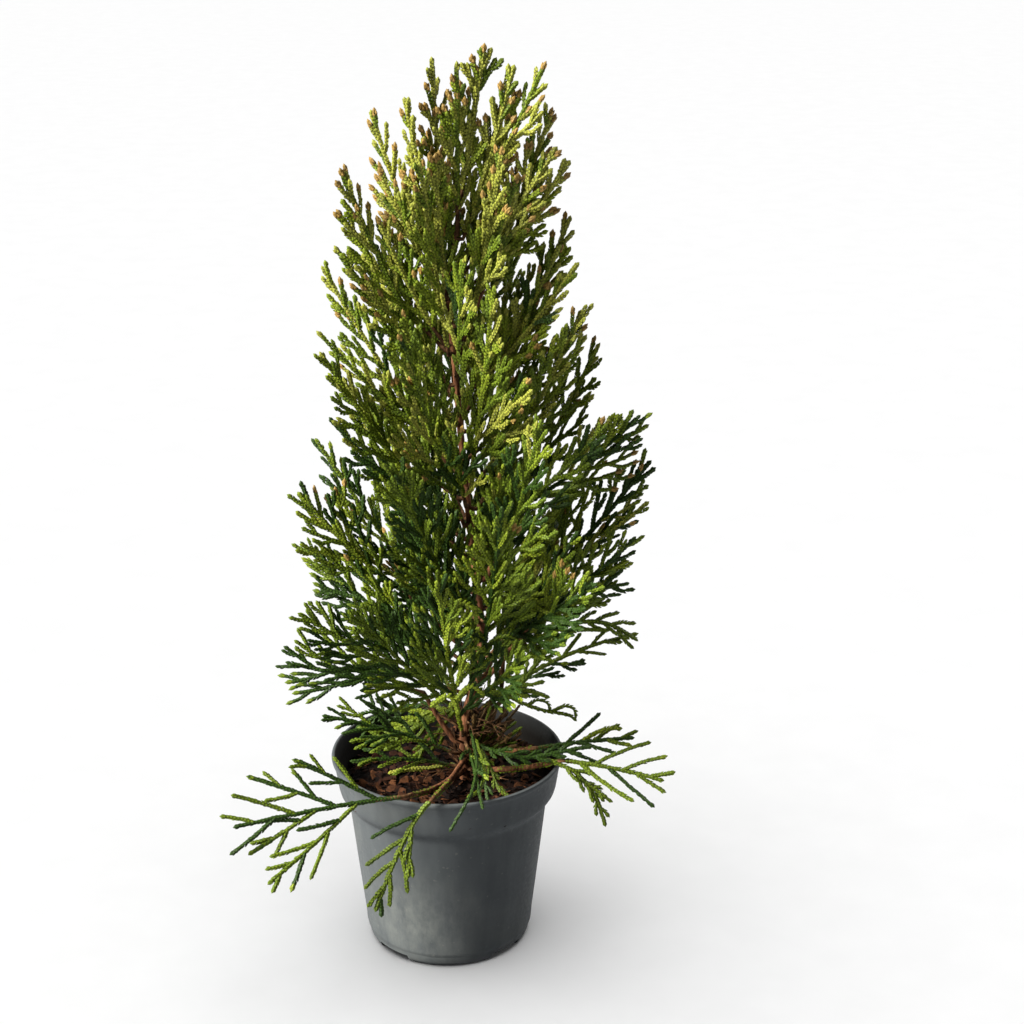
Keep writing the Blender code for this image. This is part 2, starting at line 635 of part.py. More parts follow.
def main():
    """Build the potted plant."""
    clear_scene()
    plant = new_collection("potted_thuja")
    cutters = new_collection("pot_cutters")
    guides = new_collection("guides")
    plastic = add_material("grey_pot_plastic", (0.042, 0.048, 0.052), 0.42)
    mix = add_material("potting_mix", (0.030, 0.016, 0.010), 0.95)
    bark = add_material("bark", (0.150, 0.070, 0.040), 0.85)
    green = add_material("foliage_green", (0.060, 0.090, 0.020), 0.55)
    olive = add_material("foliage_olive", (0.150, 0.140, 0.040), 0.55)
    make_pot(plant, cutters, plastic)
    soil = turned("soil", soil_profile(), plant)
    soil.data.materials.append(mix)
    trunk = trunk_points()
    limb("trunk", trunk, 8, plant, bark)
    boughs = {}
    for name, sizes in BOUGHS.items():
        boughs[name] = bough_line(trunk, *sizes)
        limb(name, boughs[name], 6, plant, bark)
    section = twig_section(guides)
    masses = grow_masses(trunk, boughs)
    for name, mass in masses.items():
        tint = olive if MASSES[name][1][2] > 280.0 else green
        make_mass(name, mass, section, plant, tint)


main()
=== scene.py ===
"""The potted thuja, dressed: bark, scale-leaved shoots, potting mix and moulded pot.

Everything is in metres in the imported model's frame, and sizes are written in
millimetres and scaled once by MM.  The trunk, the boughs and the rule by which the
foliage grows are the part's own, written again here and carried on to finer shoots.
"""
import json
import math
import random

import bpy
import bmesh
import numpy as np
from mathutils import Matrix, Vector, noise

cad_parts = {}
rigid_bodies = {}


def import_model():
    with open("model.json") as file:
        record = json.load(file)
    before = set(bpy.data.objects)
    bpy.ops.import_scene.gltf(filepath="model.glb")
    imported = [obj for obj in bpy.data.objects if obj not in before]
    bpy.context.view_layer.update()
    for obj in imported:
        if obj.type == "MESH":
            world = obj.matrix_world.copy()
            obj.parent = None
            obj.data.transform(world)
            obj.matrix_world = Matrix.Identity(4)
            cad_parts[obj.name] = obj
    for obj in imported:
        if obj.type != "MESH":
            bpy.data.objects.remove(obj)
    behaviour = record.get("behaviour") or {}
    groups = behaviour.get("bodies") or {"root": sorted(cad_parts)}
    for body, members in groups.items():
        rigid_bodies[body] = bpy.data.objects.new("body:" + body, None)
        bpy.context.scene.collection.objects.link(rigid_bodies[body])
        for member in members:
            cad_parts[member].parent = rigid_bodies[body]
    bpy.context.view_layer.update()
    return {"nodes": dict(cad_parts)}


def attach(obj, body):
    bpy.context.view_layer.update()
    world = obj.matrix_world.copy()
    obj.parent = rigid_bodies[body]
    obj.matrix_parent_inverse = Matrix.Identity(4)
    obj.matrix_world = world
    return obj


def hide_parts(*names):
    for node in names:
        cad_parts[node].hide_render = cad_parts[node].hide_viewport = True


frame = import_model()

MM = 0.001
GAP = 0.32                    # between a stem and what carries it, mm
SQUARE_START = 1.6            # a stem leaves its carrier squarely for this far, mm
UP = Vector((0.0, 0.0, 1.0))
EITHER_WAY = (-1.0, 1.0)

# Pot and potting mix, as in the part
RIM_R, RIM_Z = 45.0, 78.0
COLLAR_R = 42.4
FOOT_R = 32.4
FLOOR = 3.6
NOTCH_WIDTH, NOTCH_HEIGHT, NOTCH_DEPTH = 15.0, 3.0, 8.0
DRAIN_R, DRAIN_RING = 1.8, 26.5
NOTCH_ANGLES = (45.0, 135.0, 225.0, 315.0)
SOIL_Z, SOIL_EDGE_Z = 67.0, 65.6
SOIL_R, SOIL_LEVEL_R = 41.0, 18.0
CLEAR_OF_POT, WALL = 1.4, 2.6
POT_TURNS = 168               # corners of the turned pot
SHARP_EDGE = 38.0             # an edge of the pot that turns more stays sharp, degrees
DARK_BAND_Z, DARK_BAND_EDGE = 0.0745, 0.0012      # top and soft edge of a darker band of soil residue in the painted shade inside the pot, m
TOP_RINGS, TOP_TURNS, TOP_R = 46, 150, 40.6       # of the mix's lumpy top
# The pot's profile as (radius, height): inside from the floor up, then outside down
POT_PROFILE = (
    (0, FLOOR), (28, FLOOR), (30, 4), (31, 5.4), (34.2, 30), (37.2, 57.6),
    (38.6, 60.6), (40.6, 63.8), (41.3, 66.5), (42.3, 71.5), (43.3, 76.4), (43.5, 77.6),
    (43.75, 77.95), (44.4, 78), (44.85, 77.75), (45, 77.3), (44.9, 76.6),
    (44.5, 75.9), (44, 75), (43.4, 71.4), (42.8, 67.5), (42.4, 65), (42, 63.6),
    (41.2, 62.3), (40, 60.9), (39.1, 59.8), (38.6, 58.8), (38.4, 57.6), (38.1, 54),
    (36.9, 43.5), (35.6, 32), (34.3, 21), (33.1, 11), (32.75, 6.6), (32.6, 5.6),
    (32.25, 5.1), (32.1, 4.4), (31.7, 2.4), (31, 1.1), (30.2, 0.35), (29.2, 0),
    (0, 0))

# Trunk and boughs, as in the part
TRUNK_LINE = ((6.7, -4, SOIL_Z + GAP), (6.7, -4, 71), (6.9, -4, 92),
              (10.8, -3, 107), (13.4, -2, 122), (11.6, -1, 150),
              (7.6, 0, 190), (4.4, 0, 232), (2.7, 0, 256),
              (4.4, 0, 276), (7, 0, 294))
FLARE_R, LOW_R, HIGH_R, TIP_R = 2.9, 2, 1.3, 0.8
FLARE_HEIGHT = 6.0
BARK_STEP = 0.7               # between two rings of a limb's bark, mm
TRUNK_SIDES, BOUGH_SIDES = 22, 14
ROOT_INSIDE = 1.4             # how far a bough's bark starts inside the trunk's, mm
# Name -> (height of its root, tip, sag, radius at the root and at the tip)
BOUGHS = {
    "bough_fork": (243, (14.4, -4, 262), 1, 1.15, 0.9),
    "bough_right_high": (150, (27, 2, 176), 2, 1.3, 0.9),
    "bough_right_mid": (110, (34, 1, 134), 3, 1.3, 0.9),
    "bough_left_mid": (120, (-14, 3, 142), 3, 1.3, 0.9),
    "bough_left_low": (84, (-8, -4, 103), 2, 1.2, 0.9),
    "bough_rim_right": (79, (32, -9, 82.5), 1, 1.3, 0.95),
    "bough_rim_far_right": (72.5, (42, -18, 81.5), 3, 1.3, 0.95),
    "bough_rim_left": (72.5, (-14, -43.5, 81.5), 4, 1.4, 1),
    "bough_rim_front": (76.5, (-5, -44, 81), 2, 1.2, 0.9),
}


def numbered(side, rows):
    """The masses up one side of the crown, numbered from the top down."""
    return {f"foliage_{side}_{index:02}": row for index, row in enumerate(rows, 1)}


# Foliage masses, as in the part: name -> (carrier, tip, sag, longest pinna, spacing,
# direction that the fan faces: degrees round from the front, and degrees up)
MASSES = {
    "foliage_leader": ("tip", (15.5, 0, 346.5), 0, 19, 7.5, (12, 0)),
    "foliage_top_right": (286, (36, -4, 341), 5, 17, 8.5, (-35, 0)),
    "foliage_top_middle": (262, (24, 6, 338), 4, 16, 9, (50, 0)),
    "foliage_top_left": (268, (-2.5, 3, 342), 4, 18, 8.5, (40, 0)),
    **numbered("left", (
        (256, (-24, 9, 323), 7, 19, 9.5, (-35, 0)),
        (222, (-34.5, -6, 305), 7, 22, 10.5, (35, 0)),
        (194, (-42.5, 6, 268), 7, 23, 10.5, (-35, 5)),
        (166, (-43, -9, 240), 7, 24, 11, (35, 10)),
        (124, (-47, 9, 202), 8, 25, 10.5, (-35, 5)),
        ("bough_left_mid", (-53, -5, 186), 6, 24, 9, (25, 0)),
        (112, (-54, 12, 160), 8, 26, 9, (-30, 10)),
        (104, (-54, -12, 141), 6, 26, 9, (25, 25)),
        ("bough_left_low", (-60, -2, 117), 0, 29, 11, (5, 15)),
        (79, (-46, -14, 100), -4, 20, 10, (0, 50)))),
    **numbered("right", (
        ("bough_fork", (39, 4, 324), 5, 19, 8, (30, 0)),
        (208, (46, 8, 285), 7, 21, 10.5, (-35, 0)),
        (178, (51, -6, 256), 7, 23, 10.5, (30, 5)),
        (160, (57, 10, 237), 7, 24, 11, (-40, 5)),
        ("bough_right_high", (71, -4, 214), 6, 24, 9, (20, 0)),
        (130, (76.5, 6, 193), 8, 26, 9.5, (-25, 5)),
        ("bough_right_mid", (70, -8, 168), 5, 20, 9.5, (20, 15)),
        (102, (68, 10, 152), 6, 20, 9.5, (-30, 20)),
        (96, (72, 2, 125), -11, 15, 12, (4, 40)))),
    **numbered("front", (
        (238, (-7, -15, 309), 3, 18, 11, (55, 0)),
        (230, (21, -16, 314), 4, 18, 11, (-50, 0)),
        (186, (18, -26, 268), 6, 22, 11, (-50, 10)),
        (172, (-14, -27, 252), 6, 24, 11, (45, 10)),
        (134, (34, -34, 222), 7, 26, 10.5, (-40, 10)),
        (128, (-18, -38, 208), 8, 27, 10, (15, 15)),
        (108, (20, -45, 194), 8, 27, 10, (0, 15)),
        (124, (53, -43, 164), 3, 25, 9, (-15, 30)),
        (97, (-33, -40, 154), 5, 26, 9, (20, 25)),
        (88, (-3, -44, 166), 8, 26, 9, (-5, 20)),
        (103, (28, -40, 136), 2, 20, 9.5, (-15, 30)))),
    **numbered("back", (
        (226, (-2, 20, 304), 6, 21, 11.5, (130, 0)),
        (190, (27, 28, 272), 7, 25, 11.5, (225, 5)),
        (152, (-16, 36, 242), 8, 27, 13, (140, 5)),
        (132, (-28, 42, 204), 9, 27, 12.5, (140, 10)),
        (126, (30, 42, 214), 8, 27, 12.5, (225, 10)),
        (104, (20, 52, 184), 8, 27, 11.5, (150, 15)),
        (106, (46, 46, 156), 5, 25, 10.5, (215, 15)),
        (94, (-22, 48, 150), 6, 27, 10.5, (160, 20)))),
    "foliage_pot_left": (73.5, (-36, -13, 80.5), -4, 14, 10, (0, 60)),
    "foliage_pot_front": (84, (12.5, -49.5, 79.5), -6, 9, 11, (0, 60)),
    "foliage_rim_left": ("bough_rim_left", (-76, -62, 80), -2, 39, 15, (0, 35)),
    "foliage_rim_front": ("bough_rim_front", (-27, -55, 41), -12, 18, 11, (0, 10)),
    "foliage_rim_right": ("bough_rim_right", (71, -6, 85), -1, 17, 11, (0, 45)),
    "foliage_rim_far_right": ("bough_rim_far_right", (81, -22, 75), -2, 24, 12, (0, 35)),
}

# Pinnae, as in the part
BARE_STEM = 0.14
PINNA_ANGLE, TIP_ANGLE = 37.0, 21.0
LONG_PINNA = 28.0
BLADE_SLIMNESS, BLADE_MIN, BLADE_MAX = 0.24, 3.4, 6.0
SHORTENINGS, LEAST_PINNA = (1.0, 0.75, 0.5), 5.0
CELL = 1.7

# Finer growth.  Height -> (longest pinnule, spacing of the pinnules along one side,
# half width of a shoot, share of the filling pinnae that grow)
FINE = ((40, 9, 10, 1.00, 0), (85, 7, 12, 0.92, 0),
        (100, 12, 8.5, 0.86, 0.1), (130, 13, 8.5, 0.89, 0.2),
        (160, 13, 9.2, 0.94, 0.4), (190, 12.5, 9.6, 1.00, 0.45),
        (240, 11, 9.8, 1.06, 0.35), (290, 9.5, 9, 1.09, 0.3),
        (350, 8, 8.4, 1.15, 0.35))
ARCH_BELOW, HIGHEST = 104.0, 345.5
LOW_MASS = 90.0               # a mass whose tip is below this has no filling pinnae, mm
SPARSE_SHARE = 0.4            # of the low pinnae that carry no pinnules
LEAST_LEAFY, LEAST_PINNULE = 10.0, 4.6      # shortest pinna with pinnules, and pinnule
PINNULE_ANGLES = (28.0, 38.0)
HANGING_MASS = "foliage_pot_front"
LEAF_PITCH = 1.32             # length of one whorl of scale leaves, mm
TIP_LENGTH = 1.7              # length of a shoot's end that may have its own tint
# Filling fans of each mass: how far round the stem, reach and spacing as shares of the
# mass's own, and the share of the pinnules that its pinnae carry
FANS = ((0, 0.5, 1, 0), (64, 0.62, 2.1, 0.7), (-64, 0.62, 2.1, 0.7))

# Sprays between the masses, straight from the trunk: lowest and highest root, height
# step; and how far the crown reaches at a height: left, right, front, back, mm
TRUNK_SPRAYS = (108, 266, 6)
SPIRAL = 137.5                # degrees from one spray to the next
CROWN = ((85, 36, 44, 30, 34), (110, 56, 58, 40, 44),
         (160, 61, 64, 48, 52), (200, 56, 62, 45, 47),
         (240, 50, 52, 36, 40), (270, 47, 46, 30, 34),
         (300, 40, 38, 24, 26), (325, 31, 33, 14, 16),
         (346, 6, 26, 6, 6))
UPRIGHT = 0.30                # how much pinnules turn upwards
# More of them, for the crown's outer edge: height of the root, tip
EDGE_SPRAYS = ((282, (6, -4, 341)), (280, (25.5, -3, 340)),
               (270, (-12, -2, 329)), (262, (-21, -5, 305)),
               (266, (40, -3, 312)), (258, (45, 3, 306)),
               (222, (48, -4, 271)), (239, (-36, 2, 289)),
               (226, (-37, -3, 277)), (200, (-44, -2, 246)),
               (182, (-41, 3, 229)), (166, (-41, 0, 213)),
               (134, (-50, 4, 175)), (202, (51, 2, 251)),
               (138, (75, -3, 180)))

# Single shoots: name -> (tint, half width, points from root to tip, reach of pinnules)
STRANDS = {
    "curl_upper": ("fresh", 1.1, ((0, -36, 138), (2, -38, 151), (6, -38, 155.5),
                                  (10, -38, 153), (11, -37, 148)), 3),
    "curl_middle": ("fresh", 1.1, ((4, -31, 120), (6, -32, 130), (9, -32, 135),
                                   (13, -32, 134.5)), 4),
    "curl_low": ("fresh", 1.1, ((1, -25, 108), (6, -26, 115), (9, -26, 117),
                                (13, -26, 114.5)), 0),
    "curl_left": ("fresh", 1.1, ((-6, -28, 110), (-1, -30, 115), (2, -30, 114),
                                 (4, -30, 109)), 0),
    "arch": ("green", 0.7, ((8, -18, 124), (19, -25, 136), (25, -25, 136),
                            (29.5, -25, 131)), 0),
    "spray_stem": ("green", 1, ((12.5, -5, 104), (26, -8, 108), (32, -8, 115),
                                  (38, -8, 123), (44, -8, 130)), 7),
    "spray_side": ("green", 1, ((26, -8, 108), (32, -8, 106.5), (38, -9, 104.5)), 0),
    "coil": ("green", 0.85, ((9, -4, 103), (20, -4, 104), (28, -4, 100), (35, -4, 97),
                             (40, -4, 96), (45, -4, 98), (48.5, -4, 97), (49.5, -4, 94)),
             0),
    "coil_side": ("green", 0.8, ((38, -4, 96), (43, -5, 95.5), (47, -5, 94.5),
                                 (49, -5, 93)), 0),
    "coil_loop": ("green", 0.8, ((31, -4, 98), (34, -4, 100.5), (38, -4, 100),
                                 (39.5, -4, 97)), 0),
    "hanging_long": ("deep", 0.75, ((9, -6, 90), (11, -26, 86), (9, -42, 82.5),
                                    (6, -47.5, 79), (1, -50, 71)), 0),
    "hanging_right": ("green", 0.8, ((11, -7, 86), (14, -26, 83), (12, -38, 81),
                                     (8, -43, 80.6)), 0),
    "hanging_back": ("green", 0.8, ((12, -7, 84), (16, -20, 81), (19, -28, 76),
                                    (23, -31, 74)), 3),
    "hanging_middle": ("deep", 0.8, ((10, -7, 84), (13, -22, 81), (15, -34, 74)), 3),
    "gold": ("fresh", 1.1, ((18, -18, 140), (20, -20, 149), (31, -23, 150),
                            (38, -24, 148), (43.5, -25, 141)), 9),
    "mat_left": ("green", 1, ((4, -1, 97), (-9, 3, 88), (-19, 6, 82), (-29, 8, 80),
                                (-37, 7, 79)), 7),
    "mat_middle": ("green", 1, ((3, -2, 96), (-3, 3, 85), (-8, 4, 78), (-15, 4, 72)),
                   6),
    "mat_pale": ("fresh", 1.05, ((3, -1, 96), (-4, 9, 91), (-13, 11, 86), (-21, 12, 81),
                                 (-27, 6, 76)), 6),
    "mat_back": ("deep", 0.95, ((4, 0, 97), (-3, 10, 94), (-15, 15, 89), (-25, 17, 86),
                                (-35, 14, 81.5)), 7),
    "stub": ("olive", 1.1, ((3, 6, 68.5), (-8, 2, 69), (-15, 1, 69.5), (-22, -1, 69)), 0),
    "rim_top": ("deep", 0.95, ((9, -5, 84), (20, -19, 86), (31, -19, 84), (45, -18, 86),
                                (54, -17, 87)), 5),
    "rim_hanging": ("green", 0.95, ((36, -18, 83), (47, -20, 79), (52.5, -20, 73),
                                    (56.5, -20, 67), (60.2, -20, 55.5)), 5),
    "rim_hanging_side": ("green", 0.9, ((49, -20, 76.5), (58, -20, 69), (62, -20, 65.5)),
                         3),
    "rim_loose": ("fresh", 1, ((50, -7, 83), (55, -6, 86), (61, -6, 88.9),
                                 (66.2, -6, 89.1)), 0),
    "low_arch": ("green", 1, ((26, -1, 118), (40.5, 0, 128), (51, 0, 131.3),
                                (60, 0, 131), (66, 0, 128.2), (72.4, 0, 124)), 9),
}
# Low boughs that scale leaves still cover, from this share of their length on
RIM_LEAFY = {"bough_rim_left": 0.55, "bough_rim_front": 0.5, "bough_rim_right": 0.2,
             "bough_rim_far_right": 0.3}
RIM_SHOOT = 1.35              # half width of those shoots, mm
DRY_SHOOTS, BARE_TWIGS = 22, 46
DEAD_STEMS = (((9.5, -3, 86), (17, 2, 97), (19, 4, 105), (22, 4, 112)),
              ((10, -3, 90), (20, 3, 96), (26, 4, 103), (28, 4, 112), (30.5, 4, 121)),
              ((26, 4, 103), (31, 5, 107)), ((28, 4, 112), (31, 3, 115)),
              ((17, 2, 97), (21, 3, 102), (22, 4, 118), (23, 4, 128)))

# Scale-leaf tints, dealt out by spray: name -> (base colour, record slot)
TINTS = {
    "deep": ((0.018, 0.041, 0.003), "foliage"),
    "green": ((0.079, 0.115, 0.006), "foliage"),
    "fresh": ((0.132, 0.172, 0.010), "foliage"),
    "olive": ((0.196, 0.208, 0.028), "foliage_olive"),
    "bronze": ((0.215, 0.135, 0.034), "foliage_olive"),
    "dry": ((0.082, 0.048, 0.015), "foliage_olive"),
}
# The tints of a spray by height: (above this, mm; tints and their shares; tints of its
# shoots' tips and their shares; share of the tips that keep the spray's own tint)
# The deep tint's share grows lower down: partly the plant's own older inner growth,
# partly painted shade in the crown's lower part.
TINT_SHARES = (
    (285.0, {"olive": 6.6, "green": 1.9, "fresh": 1.5},
     {"bronze": 4.0, "olive": 2.5}, 3.5),
    (215.0, {"olive": 2.3, "green": 4.1, "fresh": 3.2, "deep": 0.4},
     {"bronze": 1.4, "olive": 2.6}, 6.0),
    (150.0, {"fresh": 1.7, "green": 5.0, "deep": 3.8, "olive": 0.3},
     {"bronze": 0.4, "fresh": 1.6}, 8.0),
    (90.0, {"fresh": 0.4, "green": 2.4, "deep": 7.2}, {"fresh": 1.0, "green": 2.0}, 7.0),
    (-1.0, {"green": 6.0, "deep": 4.0}, {"fresh": 1.0}, 9.0))
WHORL_FACES, PIECE_FACES = 21.0, 170000.0   # triangles of a whorl, and of a piece of them

# Finishes that follow one noise pattern: name -> (specular level, or None; roughness, or
# its span; the pattern's scale, detail, roughness and stretch; colours by share of the
# pattern; strength and depth of its relief)
FINISHES = {
    "thuja_bark": (0.1, (0.72, 0.95), (900.0, 4.0, 0.6, (1.0, 1.0, 0.10)),
                   ((0.28, (0.016, 0.007, 0.004)), (0.45, (0.070, 0.028, 0.013)),
                    (0.60, (0.160, 0.066, 0.030)), (0.76, (0.300, 0.160, 0.085))),
                   (0.6, 0.0005)),
    "dry_twig": (0.1, 0.85, (500.0, 3.0, 0.6),
                 ((0.30, (0.016, 0.008, 0.004)), (0.50, (0.060, 0.028, 0.012)),
                  (0.72, (0.170, 0.095, 0.045))), (0.4, 0.0003)),
    # The mix's colours are darkened past its own dark brown: painted shade from the crown
    # above it.
    "potting_mix": (0.08, 0.9, (320.0, 5.0, 0.65),
                    ((0.32, (0.0012, 0.0006, 0.0004)), (0.52, (0.003, 0.0012, 0.0007)),
                     (0.74, (0.014, 0.005, 0.002))), (0.8, 0.001)),
    "pale_floor": (None, 0.9, (40.0, 2.0),
                   ((0.3, (0.89, 0.89, 0.89)), (0.7, (0.91, 0.91, 0.91))), None),
}
# Flakes strewn over the mix: name -> (length, width and height in radii, number for each
# square metre, least and greatest radius in metres)
CRUMBS = {"chips": ((3.2, 1.5, 0.42), 190000.0, 0.0008, 0.0024),
          "fibres": ((6.0, 0.45, 0.4), 60000.0, 0.0006, 0.0014)}

# The key and fill are flagged off the floor, which has a wide soft lamp of its own:
# name -> (way it shines, strength, width in degrees, colour, link to the floor)
LIGHTS = {
    "key": ((0.79, 0.27, -0.58), 15.0, 26.0, (1.0, 0.97, 0.90), "EXCLUDE"),
    "back_fill": ((-0.55, -0.65, -0.5), 2.0, 60.0, (1.0, 0.98, 0.95), "EXCLUDE"),
    "floor_light": ((0.12, 0.05, -1.0), 3.0, 70.0, (1.0, 1.0, 1.0), "INCLUDE"),
}
FLOOR_HALF, SKY_STRENGTH = 300.0, 0.185
CAMERA_AT, CAMERA_DOWN, CAMERA_TURN = (0.0, -0.71438, 0.43808), 20.11, 2.014
LENS, SENSOR = 71.72, 36.0


def vector(point):
    """A point in millimetres as a vector in metres."""
    return Vector(point) * MM


def anywhere(chance, *spans):
    """A vector whose parts are drawn from spans."""
    return Vector([chance.uniform(*span) for span in spans])


def bend(first, control, last, share):
    """A point on a quadratic curve."""
    return first.lerp(control, share).lerp(control.lerp(last, share), share)


def curved(first, control, last, count):
    """A quadratic curve as count + 1 points."""
    return [bend(first, control, last, step / count) for step in range(count + 1)]


def length_of(line):
    """The length of a polyline."""
    return sum((b - a).length for a, b in zip(line, line[1:]))


def along(path, share):
    """Point and direction at a share of a path's length."""
    left = share * length_of(path)
    for a, b in zip(path, path[1:]):
        length = (b - a).length
        if left <= length:
            return a.lerp(b, left / length), (b - a).normalized()
        left -= length
    return path[-1], (path[-1] - path[-2]).normalized()


def last_part(path, share, count):
    """The path from a share of its length on, as count + 1 points."""
    return [along(path, share + (1.0 - share) * step / count)[0]
            for step in range(count + 1)]


def smooth(points, share, index):
    """A point between points[index] and the next, on a smooth curve through them all."""
    before = points[max(index - 1, 0)]
    first, last = points[index], points[index + 1]
    after = points[min(index + 2, len(points) - 1)]
    cubed, squared = share ** 3, share ** 2
    return (first * (2 * cubed - 3 * squared + 1) + last * (3 * squared - 2 * cubed)
            + (last - before) * 0.5 * (cubed - 2 * squared + share)
            + (after - first) * 0.5 * (cubed - squared))


def smooth_line(points, parts=4):
    """Points in millimetres as a smooth polyline in metres."""
    line = [Vector(point) for point in points]
    found = [smooth(line, part / parts, index) * MM
             for index in range(len(line) - 1) for part in range(parts)]
    return found + [line[-1] * MM]


def rolled(normal, axis, degrees):
    """A direction turned about an axis."""
    return Matrix.Rotation(math.radians(degrees), 3, axis) @ normal


# ---------------------------------------------------------------- the part's growth rule
def trunk_radius(height):
    """Radius of the trunk in millimetres: a root flare, then an even taper."""
    bottom, top = TRUNK_LINE[0][2], TRUNK_LINE[-1][2]
    flare = max(0.0, 1.0 - (height - bottom) / FLARE_HEIGHT)
    share = (height - bottom) / (top - bottom)
    if share < 0.5:
        body = LOW_R + (HIGH_R - LOW_R) * share / 0.5
    else:
        body = HIGH_R + (TIP_R - HIGH_R) * (share - 0.5) / 0.5
    return body + (FLARE_R - LOW_R) * flare ** 2


def trunk_points():
    """The trunk's axis as closely spaced points: (point, radius)."""
    line = [Vector(point) for point in TRUNK_LINE]
    found = []
    for index in range(len(line) - 1):
        parts = 1 if index < 3 else 2
        found += [smooth(line, part / parts, index) for part in range(parts)]
    found[0].xy = found[1].xy
    found.append(line[-1])
    return [(point * MM, trunk_radius(point.z) * MM) for point in found]


def on_trunk(trunk, height):
    """The trunk's axis point and radius at a height in millimetres."""
    level = height * MM
    for (low, low_radius), (high, high_radius) in zip(trunk, trunk[1:]):
        if low.z <= level <= high.z:
            share = (level - low.z) / (high.z - low.z)
            return low.lerp(high, share), low_radius + (high_radius - low_radius) * share
    return trunk[-1]


def rooted_path(start, out, tip, sag, count):
    """A path that leaves its support squarely and then bends to its tip."""
    first = start + out * SQUARE_START * MM
    control = first.lerp(tip, 0.45) - Vector((0.0, 0.0, sag * MM))
    return [start] + curved(first, control, tip, count)


def path_from_trunk(trunk, height, tip, sag, count):
    """A path that starts just clear of the trunk, on the side that faces its tip."""
    centre, radius = on_trunk(trunk, height)
    out = tip - centre
    out.z = 0.0
    out.normalize()
    return rooted_path(centre + out * (radius + GAP * MM), out, tip, sag, count)


def path_from_end(line, tip, sag, count):
    """A path that goes on from the end of a limb, just clear of it."""
    (before, _), (end, _) = line[-2:]
    out = (end - before).normalized()
    return rooted_path(end + out * GAP * MM, out, tip, sag, count)


def bough_line(trunk, height, tip, sag, root_radius, tip_radius):
    """The points and radii of a bough."""
    path = path_from_trunk(trunk, height, vector(tip), sag, 5)
    last = len(path) - 1
    return [(point, (root_radius + (tip_radius - root_radius) * index / last) * MM)
            for index, point in enumerate(path)]


def outward(turn, up=0.0):
    """The direction at an angle round from the front and an angle up."""
    return Vector((math.sin(turn) * math.cos(up), -math.cos(turn) * math.cos(up),
                   math.sin(up)))


class Room:
    """Which mass fills each cell of the crown, so that masses keep apart."""

    def __init__(self):
        self.owner = {}

    def cell(self, point):
        """The cell a point lies in."""
        return tuple(math.floor(value / (CELL * MM)) for value in point)

    def free(self, points, name):
        """True where every point is in a cell that is empty or the mass's own."""
        return all(self.owner.get(self.cell(point), name) == name for point in points)

    def take(self, points, name):
        """Give a mass the cells round its points; a cell two masses reach is shut."""
        for point in points:
            x, y, z = self.cell(point)
            for cell in ((x + i, y + j, z + k) for i in (-1, 0, 1)
                         for j in (-1, 0, 1) for k in (-1, 0, 1)):
                if self.owner.setdefault(cell, name) != name:
                    self.owner[cell] = "shut"

    def claim(self, points, plan, near):
        """Take a pinna's cells where all but those close to its root are free."""
        clear = [point for point in points if (point - plan["root"]).length > near * MM]
        free = outside_pot(points) and self.free(clear, plan["mass"])
        if free:
            self.take(points, plan["mass"])
        return free


def samples(path, half_widths, side):
    """Points a millimetre apart over a flat strip that follows a path."""
    found = []
    for index, (first, last) in enumerate(zip(path, path[1:])):
        count = max(1, math.ceil((last - first).length / MM))
        for step in range(count + 1):
            share = step / count
            half = half_widths[index]
            half += (half_widths[index + 1] - half) * share
            across = max(1, math.ceil(half / MM))
            middle = first.lerp(last, share)
            found += [middle + side * half * k / across
                      for k in range(-across, across + 1)]
    return found


def outside_pot(points):
    """True where all points are clear of the pot, the potting mix and the ground."""
    for point in points:
        across, level = math.hypot(point.x, point.y) / MM, point.z / MM
        over_soil = level > SOIL_Z + CLEAR_OF_POT and across < COLLAR_R - WALL
        beside = across > RIM_R + CLEAR_OF_POT and level > 3.0
        if not (level > RIM_Z + CLEAR_OF_POT or over_soil or beside):
            return False
    return True


def plan_pinnae(name, path, longest, spacing, normal, chance):
    """The pinnae along a stem, alternately left and right: what each one would be."""
    count = max(4, round(2.0 * length_of(path) / MM * (1.0 - BARE_STEM) / spacing))
    found = []
    for index in range(count):
        share = BARE_STEM + (0.96 - BARE_STEM) * (index + 0.5) / count
        root, ahead = along(path, share)
        side = normal.cross(ahead).normalized() * (1 if index % 2 else -1)
        angle = math.radians(PINNA_ANGLE + (TIP_ANGLE - PINNA_ANGLE) * share
                             + chance.uniform(-5.0, 5.0))
        flat = ahead.cross(side).normalized() * chance.uniform(-0.16, 0.16)
        out = (ahead * math.cos(angle) + side * math.sin(angle) + flat).normalized()
        profile = (min(1.0, 0.65 + 1.4 * share)
                   * (1.0 - 0.8 * max(0.0, share - 0.34) / 0.66))
        reach = longest * profile * chance.uniform(0.86, 1.12)
        found.append({"mass": name, "root": root, "out": out, "ahead": ahead,
                      "reach": reach, "seed": chance.random()})
    return found


def spine(plan, reach):
    """Root, widest place and tip of a pinna, which bends a little towards its stem."""
    root, out, ahead = plan["root"], plan["out"], plan["ahead"]
    middle = root + (out * 0.33 - ahead * 0.02) * reach * MM
    return [root, middle, root + (out + ahead * 0.05) * reach * MM]


def fit_blade(plan, normal, room):
    """The pinna at the greatest length that keeps to free space: (spine, reach)."""
    for shortening in SHORTENINGS:
        reach = plan["reach"] * shortening
        if reach < LEAST_PINNA:
            break
        width = max(BLADE_MIN, min(BLADE_MAX, reach * BLADE_SLIMNESS))
        line = spine(plan, reach)
        side = normal.cross(plan["out"]).normalized()
        if room.claim(samples(line, [0.4 * MM, width * 0.5 * MM, 0.2 * MM], side), plan,
                      1.5):
            return [(line, reach)]
    return []


